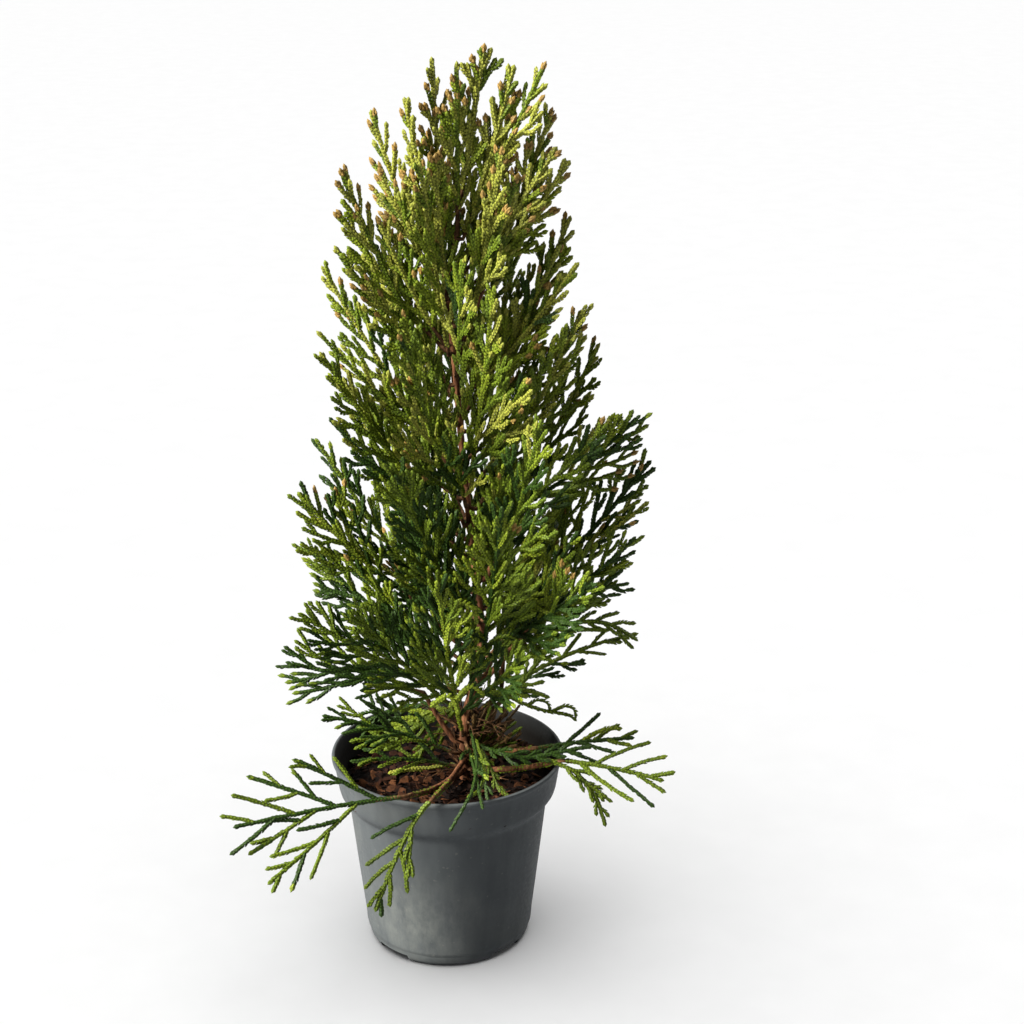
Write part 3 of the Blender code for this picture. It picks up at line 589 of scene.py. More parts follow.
def fit_twig(plan, normal, room):
    """A long pinna as a twig with blades, or as one blade where that is blocked."""
    line = curved(*spine(plan, plan["reach"] * 0.94), 4)
    side = normal.cross(plan["out"]).normalized()
    if not room.claim(samples(line, [0.6 * MM] * 5, side), plan, 1.8):
        return [], fit_blade(plan, normal, room)
    chance = random.Random(plan["seed"])
    plans = plan_pinnae(plan["mass"], line, plan["reach"] * 0.4, 13.0, normal, chance)
    ahead = (line[-1] - line[-2]).normalized()
    plans.append({"mass": plan["mass"], "root": line[-2], "out": ahead, "ahead": ahead,
                  "reach": plan["reach"] * 0.3, "seed": 0.0})
    return [line], sum((fit_blade(each, normal, room) for each in plans), [])


def grow_masses(trunk, boughs):
    """Stems and pinnae of every mass, each kept to its own space."""
    room = Room()
    for limb in [trunk] + list(boughs.values()):
        for (a, ra), (b, rb) in zip(limb, limb[1:]):
            steps = max(1, math.ceil((b - a).length / MM))
            reach = max(ra, rb) - 0.4 * MM
            for step in range(steps + 1):
                centre = a.lerp(b, step / steps)
                ring = [centre + Vector((math.cos(turn), math.sin(turn), 0.0)) * reach
                        for turn in [math.tau * k / 6 for k in range(6)]]
                room.take([centre] + ring, "limb")
    masses, plans = {}, {}
    for name, (carrier, tip, sag, longest, spacing, face) in MASSES.items():
        tip, normal = vector(tip), outward(*map(math.radians, face))
        if carrier == "tip":
            path = path_from_end(trunk, tip, sag, 4)
        elif carrier in boughs:
            path = path_from_end(boughs[carrier], tip, sag, 5)
        else:
            path = path_from_trunk(trunk, carrier, tip, sag, 5)
        masses[name] = {"path": path, "normal": normal, "twigs": [], "pinnae": []}
        room.take(samples(path[2:], [0.5 * MM] * (len(path) - 2), UP), name)
        plans[name] = plan_pinnae(name, path, longest, spacing, normal,
                                  random.Random(name))
    for turn in range(max(len(found) for found in plans.values())):
        for name, mass in masses.items():
            if turn < len(plans[name]):
                plan = plans[name][-1 - turn]
                if plan["reach"] > LONG_PINNA:
                    twigs, blades = fit_twig(plan, mass["normal"], room)
                    mass["twigs"] += twigs
                else:
                    blades = fit_blade(plan, mass["normal"], room)
                mass["pinnae"] += blades
    return masses


# ------------------------------------------------------------------------ finer growth
def at_height(rows, level):
    """What rows of (height, values) say at a height in millimetres."""
    if level <= rows[0][0]:
        return rows[0][1:]
    for low, high in zip(rows, rows[1:]):
        if level <= high[0]:
            share = (level - low[0]) / (high[0] - low[0])
            return tuple(a + (b - a) * share for a, b in zip(low[1:], high[1:]))
    return rows[-1][1:]


def fine(height):
    """The finer growth's sizes at a height in metres."""
    return at_height(FINE, height / MM)


class Shoots:
    """Leafy shoots and bare twigs, gathered as polylines for the node trees."""

    def __init__(self):
        self.leafy = {tint: [] for tint in TINTS}
        self.bare = []
        self.sources = {tint: set() for tint in TINTS}
        self.woody = set()

    def shoot(self, mass, line, normal, girth, tint, tip_tint=None):
        """A shoot covered in scale leaves, whose end may have another tint."""
        total = length_of(line)
        if total < LEAF_PITCH * 1.02 * MM:
            return
        if tip_tint and tip_tint != tint and total > (TIP_LENGTH + 2.0) * MM:
            left = total - TIP_LENGTH * MM
            cut, _ = along(line, left / total)
            kept, rest = [line[0]], [cut]
            for before, point in zip(line, line[1:]):
                left -= (point - before).length
                (kept if left > 0.0 else rest).append(point)
            self.leafy[tip_tint].append((rest, normal, girth * 1.02, girth * 0.9))
            self.sources[tip_tint].add(mass)
            line = kept + [cut]
        self.leafy[tint].append((line, normal, girth, girth * 0.92))
        self.sources[tint].add(mass)

    def pinnule(self, mass, foot, out, onward, size, normal, girth, tints):
        """A side shoot in two straight halves, where it stays out of the pot."""
        middle = foot + out * size * 0.5 * MM
        end = middle + onward.normalized() * size * 0.5 * MM
        if outside_pot([middle, end]):
            self.shoot(mass, [foot, middle, end], normal, girth * MM, *tints)

    def twig(self, mass, line, root_radius, tip_radius):
        """A bare woody twig."""
        self.bare.append((line, UP, root_radius, tip_radius))
        self.woody.add(mass)


def choose_tints(height, chance):
    """The tint of a spray and of its shoots' tips, by how high it is."""
    _, tints, tips, own = next(row for row in TINT_SHARES if height / MM > row[0])
    tint = chance.choices(tuple(tints), tints.values())[0]
    return tint, chance.choices((*tips, tint), (*tips.values(), own))[0]


def dress_pinna(shoots, name, line, normal, ahead, reach, chance, style):
    """One pinna as a leafy shoot with pinnules set alternately along it."""
    root, tip = line[0], line[-1]
    longest, spacing, girth, _ = style
    girth *= chance.uniform(0.92, 1.08)
    way = (tip - root).normalized()
    aside = (way - ahead * way.dot(ahead)).normalized()
    bow = aside * chance.uniform(0.0, 0.10) + normal * chance.uniform(-0.06, 0.08)
    if tip.z < ARCH_BELOW * MM and tip.xy.length < RIM_R * MM:
        bow = bow + UP * chance.uniform(0.10, 0.22)
    control = root.lerp(tip, 0.5) + bow * reach * MM
    rise = max(0.0, min(1.0, (tip.z / MM - 95.0) / 60.0)) * UP
    if tip.z < 330.0 * MM:
        tip = tip + rise * 0.09 * reach * MM
    elif tip.z > HIGHEST * MM > root.z:
        tip = root.lerp(tip, (HIGHEST * MM - root.z) / (tip.z - root.z))
    axis = curved(root, control, tip, max(3, int(reach / 4.0)))
    tints = choose_tints(tip.z, chance)
    shoots.shoot(name, axis, normal, girth * MM, *tints)
    sparse = tip.z < ARCH_BELOW * MM and chance.random() < SPARSE_SHARE
    if reach < LEAST_LEAFY or longest <= 0.0 or sparse:
        return
    steps = max(1, round(2.0 * reach * 0.7 / spacing))
    first = chance.choice((1, -1))
    for index in range(steps):
        share = 0.20 + 0.64 * (index + chance.uniform(0.3, 0.7)) / steps
        foot, direction = along(axis, share)
        left = normal.cross(direction).normalized() * (first if index % 2 else -first)
        steep = 8.0 * max(0.0, min(1.0, (170.0 - foot.z / MM) / 60.0))
        angle = math.radians(chance.uniform(*PINNULE_ANGLES) - steep)
        room = min(longest, reach * 0.56) * (1.15 - 0.5 * share)
        size = room * chance.uniform(0.75, 1.15)
        if size < LEAST_PINNULE:
            continue
        lift = normal * chance.uniform(-0.14, 0.14)
        out = (direction * math.cos(angle) + left * math.sin(angle) + lift).normalized()
        onward = out * 0.55 + direction * 0.45 + rise * UPRIGHT
        shoots.pinnule(name, foot, out, onward, size, normal, girth * 0.96, tints)


def dress_stem(shoots, name, path, normal, girth, chance, bare):
    """A mass's stem: woody at its root, then covered in scale leaves."""
    inward = (path[0] - path[1]).normalized() * SQUARE_START * MM
    start = last_part(path, bare, 14)
    shoots.twig(name, [path[0] + inward, path[0], path[1], start[0], start[1], start[3]],
                1.0 * MM, 0.55 * MM)
    shoots.shoot(name, start, normal, girth * 1.05 * MM,
                 *choose_tints(path[-1].z, chance))


def dress_mass(shoots, name, mass):
    """All finer growth of one mass."""
    chance = random.Random(name + " fine")
    path, normal = mass["path"], mass["normal"]
    _, _, girth, fill = fine(path[-1].z)
    slender = name == HANGING_MASS
    girth *= 0.76 if slender else 1.0
    fill *= 0.4 if name.startswith("foliage_back") else 1.0
    low = path[-1].z < LOW_MASS * MM
    dress_stem(shoots, name, path, normal, girth, chance, 0.06)
    for line in mass["twigs"]:
        shoots.shoot(name, line, normal, girth * MM, *choose_tints(line[-1].z, chance))
    ahead = (path[-1] - path[1]).normalized()
    for line, reach in mass["pinnae"]:
        if slender and chance.random() < 0.6:
            continue
        tilt = rolled(normal, (line[2] - line[0]).normalized(),
                      chance.uniform(-22.0, 22.0))
        longest, *style = fine(line[2].z)
        if low:
            longest *= chance.choice((0.0, 0.0, 1.0))
        dress_pinna(shoots, name, line, tilt, ahead, reach, chance, (longest, *style))
    if low:
        return
    _, _, _, longest, spacing, _ = MASSES[name]
    for roll, share, apart, leafy in FANS:
        fan_normal = rolled(normal, ahead, roll + chance.uniform(-10.0, 10.0))
        for plan in plan_pinnae(name, path, longest * share, spacing * apart, fan_normal,
                                chance):
            line = spine(plan, plan["reach"])
            if chance.random() > fill or plan["reach"] < 4.0 or not outside_pot(line):
                continue
            tilt = rolled(fan_normal, plan["out"], chance.uniform(-30.0, 30.0))
            pinnule, *style = fine(line[2].z)
            dress_pinna(shoots, name, line, tilt, ahead, plan["reach"], chance,
                        (pinnule * leafy, *style))


def crown_reach(height, turn):
    """How far the crown reaches at a height, in a direction round the trunk."""
    left, right, front, back = at_height(CROWN, height)
    across, deep = math.sin(turn), math.cos(turn)
    wide = right if across > 0.0 else left
    near = front if deep > 0.0 else back
    return 1.0 / math.hypot(across / wide, deep / near)


def dress_spray(shoots, trunk, height, tip, longest, chance):
    """One spray straight from the trunk."""
    path = path_from_trunk(trunk, height, tip, 6.0, 6)
    way = (path[-1] - path[1]).normalized()
    normal = rolled(Vector((0.0, -1.0, 0.2)), way, chance.uniform(-60.0, 60.0))
    if abs(normal.dot(way)) > 0.8:
        normal = rolled(Vector((way.x, way.y, 0.0)).normalized(), way, 90.0)
    dress_stem(shoots, None, path, normal, fine(tip.z)[2], chance, 0.2)
    for plan in plan_pinnae(None, path, longest, 9.5, normal, chance):
        line = spine(plan, plan["reach"])
        if plan["reach"] > 4.0 and outside_pot(line):
            tilt = rolled(normal, plan["out"], chance.uniform(-25.0, 25.0))
            dress_pinna(shoots, None, line, tilt, way, plan["reach"], chance,
                        fine(line[2].z))


def dress_trunk(shoots, trunk):
    """Sprays between the masses and along the crown's edge, straight from the trunk."""
    chance = random.Random("trunk sprays")
    height, highest, step = TRUNK_SPRAYS
    turn = 0.0
    while height < highest:
        turn += math.radians(SPIRAL)
        level = min(344.0, height + chance.uniform(34.0, 60.0))
        reach = crown_reach(level, turn) * chance.uniform(0.5, 0.93)
        centre, _ = on_trunk(trunk, height)
        tip = Vector((centre.x, centre.y, level * MM)) + outward(turn) * reach * MM
        dress_spray(shoots, trunk, height, tip, chance.uniform(14.0, 20.0), chance)
        height += step * chance.uniform(0.7, 1.3)
    for height, tip in EDGE_SPRAYS:
        dress_spray(shoots, trunk, height, vector(tip), 14.0, chance)


def dress_strands(shoots):
    """Single shoots that curl, hang over the rim or lie along the low boughs."""
    chance = random.Random("strands")
    normal = Vector((0.1, -0.8, 0.6)).normalized()
    for tint, girth, points, reach in STRANDS.values():
        line = smooth_line(points)
        shoots.shoot(None, line, normal, girth * MM, tint)
        count = int(length_of(line) / MM / 4.5)
        for index in range(count if reach else 0):
            foot, direction = along(line, 0.25 + 0.65 * index / count)
            side = normal.cross(direction).normalized() * (1 if index % 2 else -1)
            size = reach * chance.uniform(0.7, 1.3)
            out = (direction * 0.8 + side * 0.55).normalized()
            onward = out * 0.5 + direction * 0.5
            shoots.pinnule(None, foot, out, onward, size, normal, girth * 0.9, [tint])


def offshoot(line, chance, places, ahead_share, side_share, lengths):
    """A short straight shoot that leaves a line in a drawn direction."""
    foot, ahead = along(line, chance.uniform(*places))
    side = ahead.cross(anywhere(chance, EITHER_WAY, EITHER_WAY, EITHER_WAY)).normalized()
    way = ahead * ahead_share + side * side_share
    end = foot + way * chance.uniform(*lengths) * MM
    return [foot, foot.lerp(end, 0.5), end]


def dry_shoots(shoots):
    """Dry brown shoots that fan out low beside the trunk, some of them still green."""
    chance = random.Random("dead twigs")
    normal = Vector((0.0, -0.9, 0.4))
    for index in range(DRY_SHOOTS):
        start = anywhere(chance, (6.0, 11.0), (-5.0, -1.0), (70.0, 80.0)) * MM
        tip = anywhere(chance, (9.0, 29.0), (-9.0, 8.0), (82.0, 103.0)) * MM
        aside = vector((chance.uniform(0.0, 4.0), chance.uniform(-2.0, 2.0), 1.0))
        line = curved(start, start.lerp(tip, 0.5) + aside, tip, 6)
        shoots.shoot(None, line, normal, chance.uniform(0.55, 0.8) * MM,
                     "dry" if index % 3 else "green")
        for _ in range(chance.randint(0, 3)):
            shoots.shoot(None, offshoot(line, chance, (0.35, 0.8), 0.9, 0.5, (4.0, 9.0)),
                         normal, 0.55 * MM, "dry")
    return chance


def bare_twigs(shoots, trunk, chance):
    """Bare dead stems low on the right, and short twigs all round the trunk's foot."""
    for points in DEAD_STEMS:
        shoots.twig(None, smooth_line(points, 3), 1.1 * MM, 0.6 * MM)
    for _ in range(BARE_TWIGS):
        centre, radius = on_trunk(trunk, chance.uniform(69.5, 96.0))
        turn = math.radians(chance.uniform(-180.0, 180.0))
        out = outward(turn)
        way = (out + Vector((0, 0, chance.uniform(-0.25, 1.3)))).normalized()
        length = chance.uniform(8.0, 22.0)
        start = centre + out * radius * 0.6
        tip = start + way * length * MM
        aside = anywhere(chance, EITHER_WAY, EITHER_WAY, (0.0, 1.0)) * length * 0.12 * MM
        line = [point for point in curved(start, start.lerp(tip, 0.5) + aside, tip, 6)
                if point.z > (SOIL_Z + 1.2) * MM]
        if len(line) < 3 or not outside_pot([line[-1]]):
            continue
        shoots.twig(None, line, chance.uniform(0.35, 0.6) * MM, 0.16 * MM)
        for _ in range(chance.randint(1, 4)):
            side = offshoot(line, chance, (0.3, 0.9), 0.8, 0.6, (2.5, 7.0))
            if side[-1].z > (SOIL_Z + 0.8) * MM:
                shoots.twig(None, side, 0.24 * MM, 0.12 * MM)


# ----------------------------------------------------------------- objects and meshes
def placed(name, data):
    """An object of its own in the scene."""
    thing = bpy.data.objects.new(name, data)
    bpy.context.scene.collection.objects.link(thing)
    return thing


def made_plain(thing):
    """What an object's modifiers make of it, as a plain mesh."""
    bpy.context.view_layer.update()
    seen = thing.evaluated_get(bpy.context.evaluated_depsgraph_get())
    return bpy.data.meshes.new_from_object(seen)


def mesh_from(name, work):
    """A finished bmesh as a mesh whose faces point outward."""
    bmesh.ops.recalc_face_normals(work, faces=work.faces)
    mesh = bpy.data.meshes.new(name)
    work.to_mesh(mesh)
    work.free()
    return mesh


def mesh_of(name, points, edges=(), faces=()):
    """A mesh from plain lists."""
    mesh = bpy.data.meshes.new(name)
    mesh.from_pydata(points, edges, faces)
    mesh.update()
    return mesh


def store(mesh, name, values, kind="FLOAT"):
    """Keep a number or a vector for each point of a mesh."""
    layer = mesh.attributes.new(name, kind, "POINT")
    layer.data.foreach_set("value" if kind == "FLOAT" else "vector",
                           np.array(values, dtype=np.float32).ravel())


def skin(work, rings, count):
    """Faces between rings of vertices, where a ring of one vertex is a pole."""
    for low, high in zip(rings, rings[1:]):
        for k in range(count):
            n = (k + 1) % count
            corners = (low[k % len(low)], low[n % len(low)], high[n % len(high)],
                       high[k % len(high)])
            work.faces.new(list(dict.fromkeys(corners)))


# -------------------------------------------------------------------- node tree helpers
def socket(sockets, name):
    """The enabled socket with a name."""
    return next(each for each in sockets if each.name == name and each.enabled)


def add_node(tree, kind, settings=None, inputs=None):
    """A node with its settings, and its inputs linked or filled in by name."""
    node = tree.nodes.new(kind)
    for key, value in (settings or {}).items():
        setattr(node, key, value)
    for name, value in (inputs or {}).items():
        place = node.inputs[name] if isinstance(name, int) else socket(node.inputs, name)
        if isinstance(value, bpy.types.NodeSocket):
            tree.links.new(value, place)
        else:
            place.default_value = value
    return node


def new_tree(name, inputs):
    """A geometry node tree with named inputs: (tree, its inputs, name -> identifier)."""
    tree = bpy.data.node_groups.new(name, "GeometryNodeTree")
    places = {label: tree.interface.new_socket(
        label, in_out="INPUT", socket_type="NodeSocket" + kind).identifier
        for label, kind in {"Geometry": "Geometry", **inputs}.items()}
    tree.interface.new_socket("Geometry", in_out="OUTPUT",
                              socket_type="NodeSocketGeometry")
    given = {each.name: each for each in tree.nodes.new("NodeGroupInput").outputs}
    return tree, given, places


def finish_tree(tree, geometry, material):
    """End a tree in realized instances and a material."""
    real = add_node(tree, "GeometryNodeRealizeInstances", inputs={"Geometry": geometry})
    painted = add_node(tree, "GeometryNodeSetMaterial",
                       inputs={"Geometry": real.outputs[0], "Material": material})
    tree.links.new(painted.outputs[0], tree.nodes.new("NodeGroupOutput").inputs[0])


def read(tree, name, kind="FLOAT"):
    """What a mesh keeps for each point under a name."""
    node = add_node(tree, "GeometryNodeInputNamedAttribute", {"data_type": kind},
                    {"Name": name})
    return socket(node.outputs, "Attribute")


def drawn(tree, seed, least, most, kind="FLOAT"):
    """A random value between two."""
    node = add_node(tree, "FunctionNodeRandomValue", {"data_type": kind},
                    {"Min": least, "Max": most, "Seed": seed})
    return socket(node.outputs, "Value")


def product(tree, first, second, clamped=False):
    """Two values multiplied."""
    return add_node(tree, "ShaderNodeMath",
                    {"operation": "MULTIPLY", "use_clamp": clamped},
                    {0: first, 1: second}).outputs[0]


def set_on(tree, points, shape, rotation, size, where=True):
    """A shape set on points."""
    shape = add_node(tree, "GeometryNodeObjectInfo", inputs={"Object": shape})
    return add_node(tree, "GeometryNodeInstanceOnPoints",
                    inputs={"Points": points, "Selection": where,
                            "Instance": socket(shape.outputs, "Geometry"),
                            "Rotation": rotation, "Scale": size}).outputs[0]


def grown(name, source, tree, places, values):
    """Run a node tree on a source mesh and keep the result as a plain mesh object."""
    carrier = placed(name + "_source", source)
    modifier = carrier.modifiers.new("grow", "NODES")
    modifier.node_group = tree
    for label, value in values.items():
        modifier[places[label]] = value
    carrier.update_tag()
    mesh = made_plain(carrier)
    mesh.name = name
    bpy.data.objects.remove(carrier, do_unlink=True)
    for label in ("flat", "girth", "pitch"):
        if label in mesh.attributes:
            mesh.attributes.remove(mesh.attributes[label])
    return placed(name, mesh)


def leaf_tree():
    """Whorls of scale leaves set along shoots, with a bud at each shoot's end."""
    tree, given, places = new_tree("scale_leaves", {
        "Leaf overlap": "Float", "Whorl": "Object", "Bud": "Object", "Finish": "Material",
        "Seed": "Int"})
    seed, pitch = given["Seed"], read(tree, "pitch")
    curve = add_node(tree, "GeometryNodeMeshToCurve", inputs={"Mesh": given["Geometry"]})
    even = add_node(tree, "GeometryNodeResampleCurve", {"mode": "LENGTH"},
                    {"Curve": curve.outputs[0], "Length": product(tree, pitch, 0.999)})
    tangent = tree.nodes.new("GeometryNodeInputTangent").outputs[0]
    turn = add_node(tree, "FunctionNodeAxesToRotation",
                    {"primary_axis": "Y", "secondary_axis": "Z"},
                    {"Primary Axis": tangent,
                     "Secondary Axis": read(tree, "flat", "FLOAT_VECTOR")})
    tilt = drawn(tree, seed, (-0.10, -0.30, -0.10), (0.10, 0.30, 0.10), "FLOAT_VECTOR")
    wobble = add_node(tree, "FunctionNodeEulerToRotation", inputs={"Euler": tilt})
    rotation = add_node(tree, "FunctionNodeRotateRotation", {"rotation_space": "LOCAL"},
                        {"Rotation": turn.outputs[0], "Rotate By": wobble.outputs[0]})
    wide = product(tree, read(tree, "girth"), drawn(tree, seed, 0.90, 1.10))
    size = add_node(tree, "ShaderNodeCombineXYZ", inputs={
        "X": wide, "Y": product(tree, pitch, given["Leaf overlap"]), "Z": wide})
    last = add_node(tree, "GeometryNodeCurveEndpointSelection",
                    inputs={"Start Size": 0, "End Size": 1}).outputs[0]
    rest = add_node(tree, "FunctionNodeBooleanMath", {"operation": "NOT"}, {0: last})
    both = add_node(tree, "GeometryNodeJoinGeometry")
    for shape, where in (("Whorl", rest.outputs[0]), ("Bud", last)):
        tree.links.new(set_on(tree, even.outputs[0], given[shape], rotation.outputs[0],
                              size.outputs[0], where), both.inputs[0])
    finish_tree(tree, both.outputs[0], given["Finish"])
    return tree, places


def twig_tree():
    """Bare twigs as tapering tubes along polylines."""
    tree, given, places = new_tree("bare_twigs", {"Sides": "Int", "Finish": "Material"})
    curve = add_node(tree, "GeometryNodeMeshToCurve", inputs={"Mesh": given["Geometry"]})
    girth = read(tree, "girth")
    sized = add_node(tree, "GeometryNodeSetCurveRadius",
                     inputs={"Curve": curve.outputs[0], "Radius": girth})
    ring = add_node(tree, "GeometryNodeCurvePrimitiveCircle", {"mode": "RADIUS"},
                    {"Resolution": given["Sides"], "Radius": 1.0})
    tube = add_node(tree, "GeometryNodeCurveToMesh",
                    inputs={"Curve": sized.outputs[0], "Profile Curve": ring.outputs[0],
                            "Fill Caps": True, "Scale": girth})
    finish_tree(tree, tube.outputs[0], given["Finish"])
    return tree, places


def crumb_tree():
    """Chips and fibres of bark strewn over a surface, each with a tone of its own."""
    tree, given, places = new_tree("soil_crumbs", {
        "Density": "Float", "Crumb": "Object", "Least": "Float", "Most": "Float",
        "Finish": "Material", "Seed": "Int"})
    seed = given["Seed"]
    spots = add_node(tree, "GeometryNodeDistributePointsOnFaces",
                     {"distribute_method": "RANDOM"},
                     {"Mesh": given["Geometry"], "Density": given["Density"],
                      "Seed": seed})
    turn = drawn(tree, seed, (-0.7, -0.7, 0.0), (0.7, 0.7, math.tau), "FLOAT_VECTOR")
    rotation = add_node(tree, "FunctionNodeEulerToRotation", inputs={"Euler": turn})
    laid = set_on(tree, spots.outputs["Points"], given["Crumb"], rotation.outputs[0],
                  drawn(tree, seed, given["Least"], given["Most"]))
    toned = add_node(tree, "GeometryNodeStoreNamedAttribute",
                     {"data_type": "FLOAT", "domain": "INSTANCE"},
                     {"Geometry": laid, "Name": "tone",
                      "Value": drawn(tree, seed, 0.0, 1.0)})
    finish_tree(tree, toned.outputs[0], given["Finish"])
    return tree, places


def repeated_shape(name, points, faces, painted_shading):
    """A small shape that a node tree repeats; it isn't a piece of its own."""
    mesh = mesh_of(name, points, faces=faces)
    # Its painted shading is kept for each corner.
    store(mesh, "painted_shading", painted_shading)
    return bpy.data.objects.new(name, mesh)


def whorl_shape():
    """Two flat-lying and two folded side leaves: half width 1, length 1 along +Y."""
    points, faces, painted_shading = [], [], []
    # Each corner keeps a painted shading value: 0 is painted shade in a joint, 1 a
    # painted highlight on a ridge or tip.
    for mirrored, corners, triangles, shaded_tones in (
            (2, ((0.0, -0.15, 0.50), (0.72, 0.50, 0.40), (0.0, 0.58, 0.86),
                 (0.0, 1.18, 0.72), (-0.72, 0.50, 0.40)),
             ((0, 1, 2), (1, 3, 2), (3, 4, 2), (4, 0, 2)), (0.0, 0.25, 1.0, 0.75, 0.25)),
            (0, ((0.80, 0.42, 0.0), (1.02, 1.0, 0.0), (0.84, 1.60, 0.0),
                 (0.12, 1.0, 0.66), (0.12, 1.0, -0.66)),
             ((0, 1, 3), (1, 2, 3), (0, 4, 1), (1, 4, 2)), (0.0, 1.0, 0.7, 0.2, 0.2))):
        for side in (1, -1):
            start = len(points)
            for corner in corners:
                points.append([value * side if axis == mirrored else value
                               for axis, value in enumerate(corner)])
            painted_shading.extend(shaded_tones)
            faces += [[start + k for k in triangle[::side]] for triangle in triangles]
    return repeated_shape("whorl", points, faces, painted_shading)


def bud_shape():
    """The blunt end of a shoot, where the last leaves close over it."""
    ring = [(0.84, -0.05, 0.0), (0.40, -0.05, 0.64), (-0.40, -0.05, 0.64),
            (-0.84, -0.05, 0.0), (-0.40, -0.05, -0.64), (0.40, -0.05, -0.64)]
    upper = [(x * 0.78, 0.62, z * 0.78) for x, _, z in ring]
    faces = []
    for k in range(6):
        n = (k + 1) % 6
        faces += [(k, 6 + k, 6 + n, n), (6 + k, 12, 6 + n)]
    # The bud's base ring carries painted shade and its top a paler painted highlight.
    return repeated_shape("bud", ring + upper + [(0.0, 1.15, 0.0)], faces,
                          [0.3] * 6 + [0.6] * 7)


def crumb_shape(name, sizes):
    """A ragged chip: a rough low-faced lump."""
    work = bmesh.new()
    bmesh.ops.create_icosphere(work, subdivisions=1, radius=0.5)
    chance = random.Random(name)
    for vertex in work.verts:
        for axis, spread_out in enumerate(((0.7, 1.2), (0.6, 1.3), (0.6, 1.3))):
            vertex.co[axis] *= sizes[axis] * chance.uniform(*spread_out)
    return bpy.data.objects.new(name + "_shape", mesh_from(name + "_shape", work))


def line_mesh(lines):
    """Polylines as one mesh with the attributes the trees read."""
    points, edges, flats, girths, pitches = [], [], [], [], []
    for line, normal, root_girth, tip_girth in lines:
        start, last = len(points), len(line) - 1
        total = length_of(line)
        points += line
        edges += [(start + step, start + step + 1) for step in range(last)]
        flats += [tuple(normal)] * len(line)
        girths += [root_girth + (tip_girth - root_girth) * step / last
                   for step in range(len(line))]
        pitches += [total / max(1, round(total / (LEAF_PITCH * MM)))] * len(line)
    mesh = mesh_of("lines", points, edges)
    store(mesh, "flat", flats, "FLOAT_VECTOR")
    store(mesh, "girth", girths)
    store(mesh, "pitch", pitches)
    return mesh


# --------------------------------------------------------------------------- materials
def new_material(name, specular=None):
    """A Principled material: (material, its tree, its shader)."""
    material = bpy.data.materials.new(name)
    material.use_nodes = True
    shader = material.node_tree.nodes["Principled BSDF"]
    if specular is not None:
        shader.inputs["Specular IOR Level"].default_value = specular
    return material, material.node_tree, shader


def pattern(tree, scale, detail=3.0, rough=0.55, stretch=(1.0, 1.0, 1.0)):
    """A noise pattern on object coordinates."""
    where = tree.nodes.new("ShaderNodeTexCoord").outputs["Object"]
    shift = add_node(tree, "ShaderNodeMapping",
                     inputs={"Vector": where, "Scale": stretch})
    return add_node(tree, "ShaderNodeTexNoise",
                    inputs={"Vector": shift.outputs[0], "Scale": scale, "Detail": detail,
                            "Roughness": rough}).outputs["Fac"]


def stored(tree, name):
    """What a mesh keeps under a name."""
    return add_node(tree, "ShaderNodeAttribute", {"attribute_name": name}).outputs["Fac"]


def ramp(tree, value, *stops):
    """A colour ramp: stops are (place, colour)."""
    node = add_node(tree, "ShaderNodeValToRGB", inputs={0: value})
    band = node.color_ramp
    while len(band.elements) < len(stops):
        band.elements.new(0.5)
    for element, (place, colour) in zip(band.elements, stops):
        element.position = place
        element.color = (*colour, 1.0)
    return node.outputs[0]


def spread(tree, value, low, high, start=0.3, end=0.7):
    """A value stretched from start..end to low..high."""
    return add_node(tree, "ShaderNodeMapRange",
                    inputs={"Value": value, "From Min": start, "From Max": end,
                            "To Min": low, "To Max": high}).outputs["Result"]


def blended(tree, kind, first, second, share=1.0):
    """Two colours mixed: by a value or a socket."""
    mixed = add_node(tree, "ShaderNodeMix", {"data_type": "RGBA", "blend_type": kind},
                     {"Factor": share, "A": first, "B": second})
    return socket(mixed.outputs, "Result")


def coat(tree, shader, colour, grain, roughness, bump):
    """Colour, roughness or its span over a pattern, and relief, on the shader."""
    tree.links.new(colour, shader.inputs["Base Color"])
    if isinstance(roughness, tuple):
        tree.links.new(spread(tree, grain, *roughness), shader.inputs["Roughness"])
    else:
        shader.inputs["Roughness"].default_value = roughness
    if bump:
        node = add_node(tree, "ShaderNodeBump",
                        inputs={"Height": grain, "Strength": bump[0],
                                "Distance": bump[1]})
        tree.links.new(node.outputs[0], shader.inputs["Normal"])


def finish(name):
    """A finish that follows one noise pattern."""
    specular, roughness, sizes, stops, bump = FINISHES[name]
    material, tree, shader = new_material(name, specular)
    grain = pattern(tree, *sizes)
    coat(tree, shader, ramp(tree, grain, *stops), grain, roughness, bump)
    return material


def leaf_material(name, colour):
    """Scale leaves: painted shade in the joints, painted highlight on the ridges and
    tips, a little waxy.
    """
    material, tree, shader = new_material("scale_leaf_" + name, 0.16)
    # Painted shading: the tint falls to a fifth of itself in the joints and rises past it
    # on the ridges and tips.
    shaded_tones = ramp(tree, stored(tree, "painted_shading"), *(
        (place, tuple(part * amount for part in colour))
        for place, amount in ((0.0, 0.20), (0.42, 0.76), (1.0, 1.45))))
    mottle = ramp(tree, pattern(tree, 300.0, 2.0), (0.30, (0.74, 0.78, 0.8)),
                  (0.55, (1.0, 1.0, 1.0)), (0.75, (1.0, 0.94, 0.78)))
    coat(tree, shader, blended(tree, "MULTIPLY", shaded_tones, mottle),
         pattern(tree, 1500.0, 2.0), (0.50, 0.70), (0.25, 0.0002))
    return material


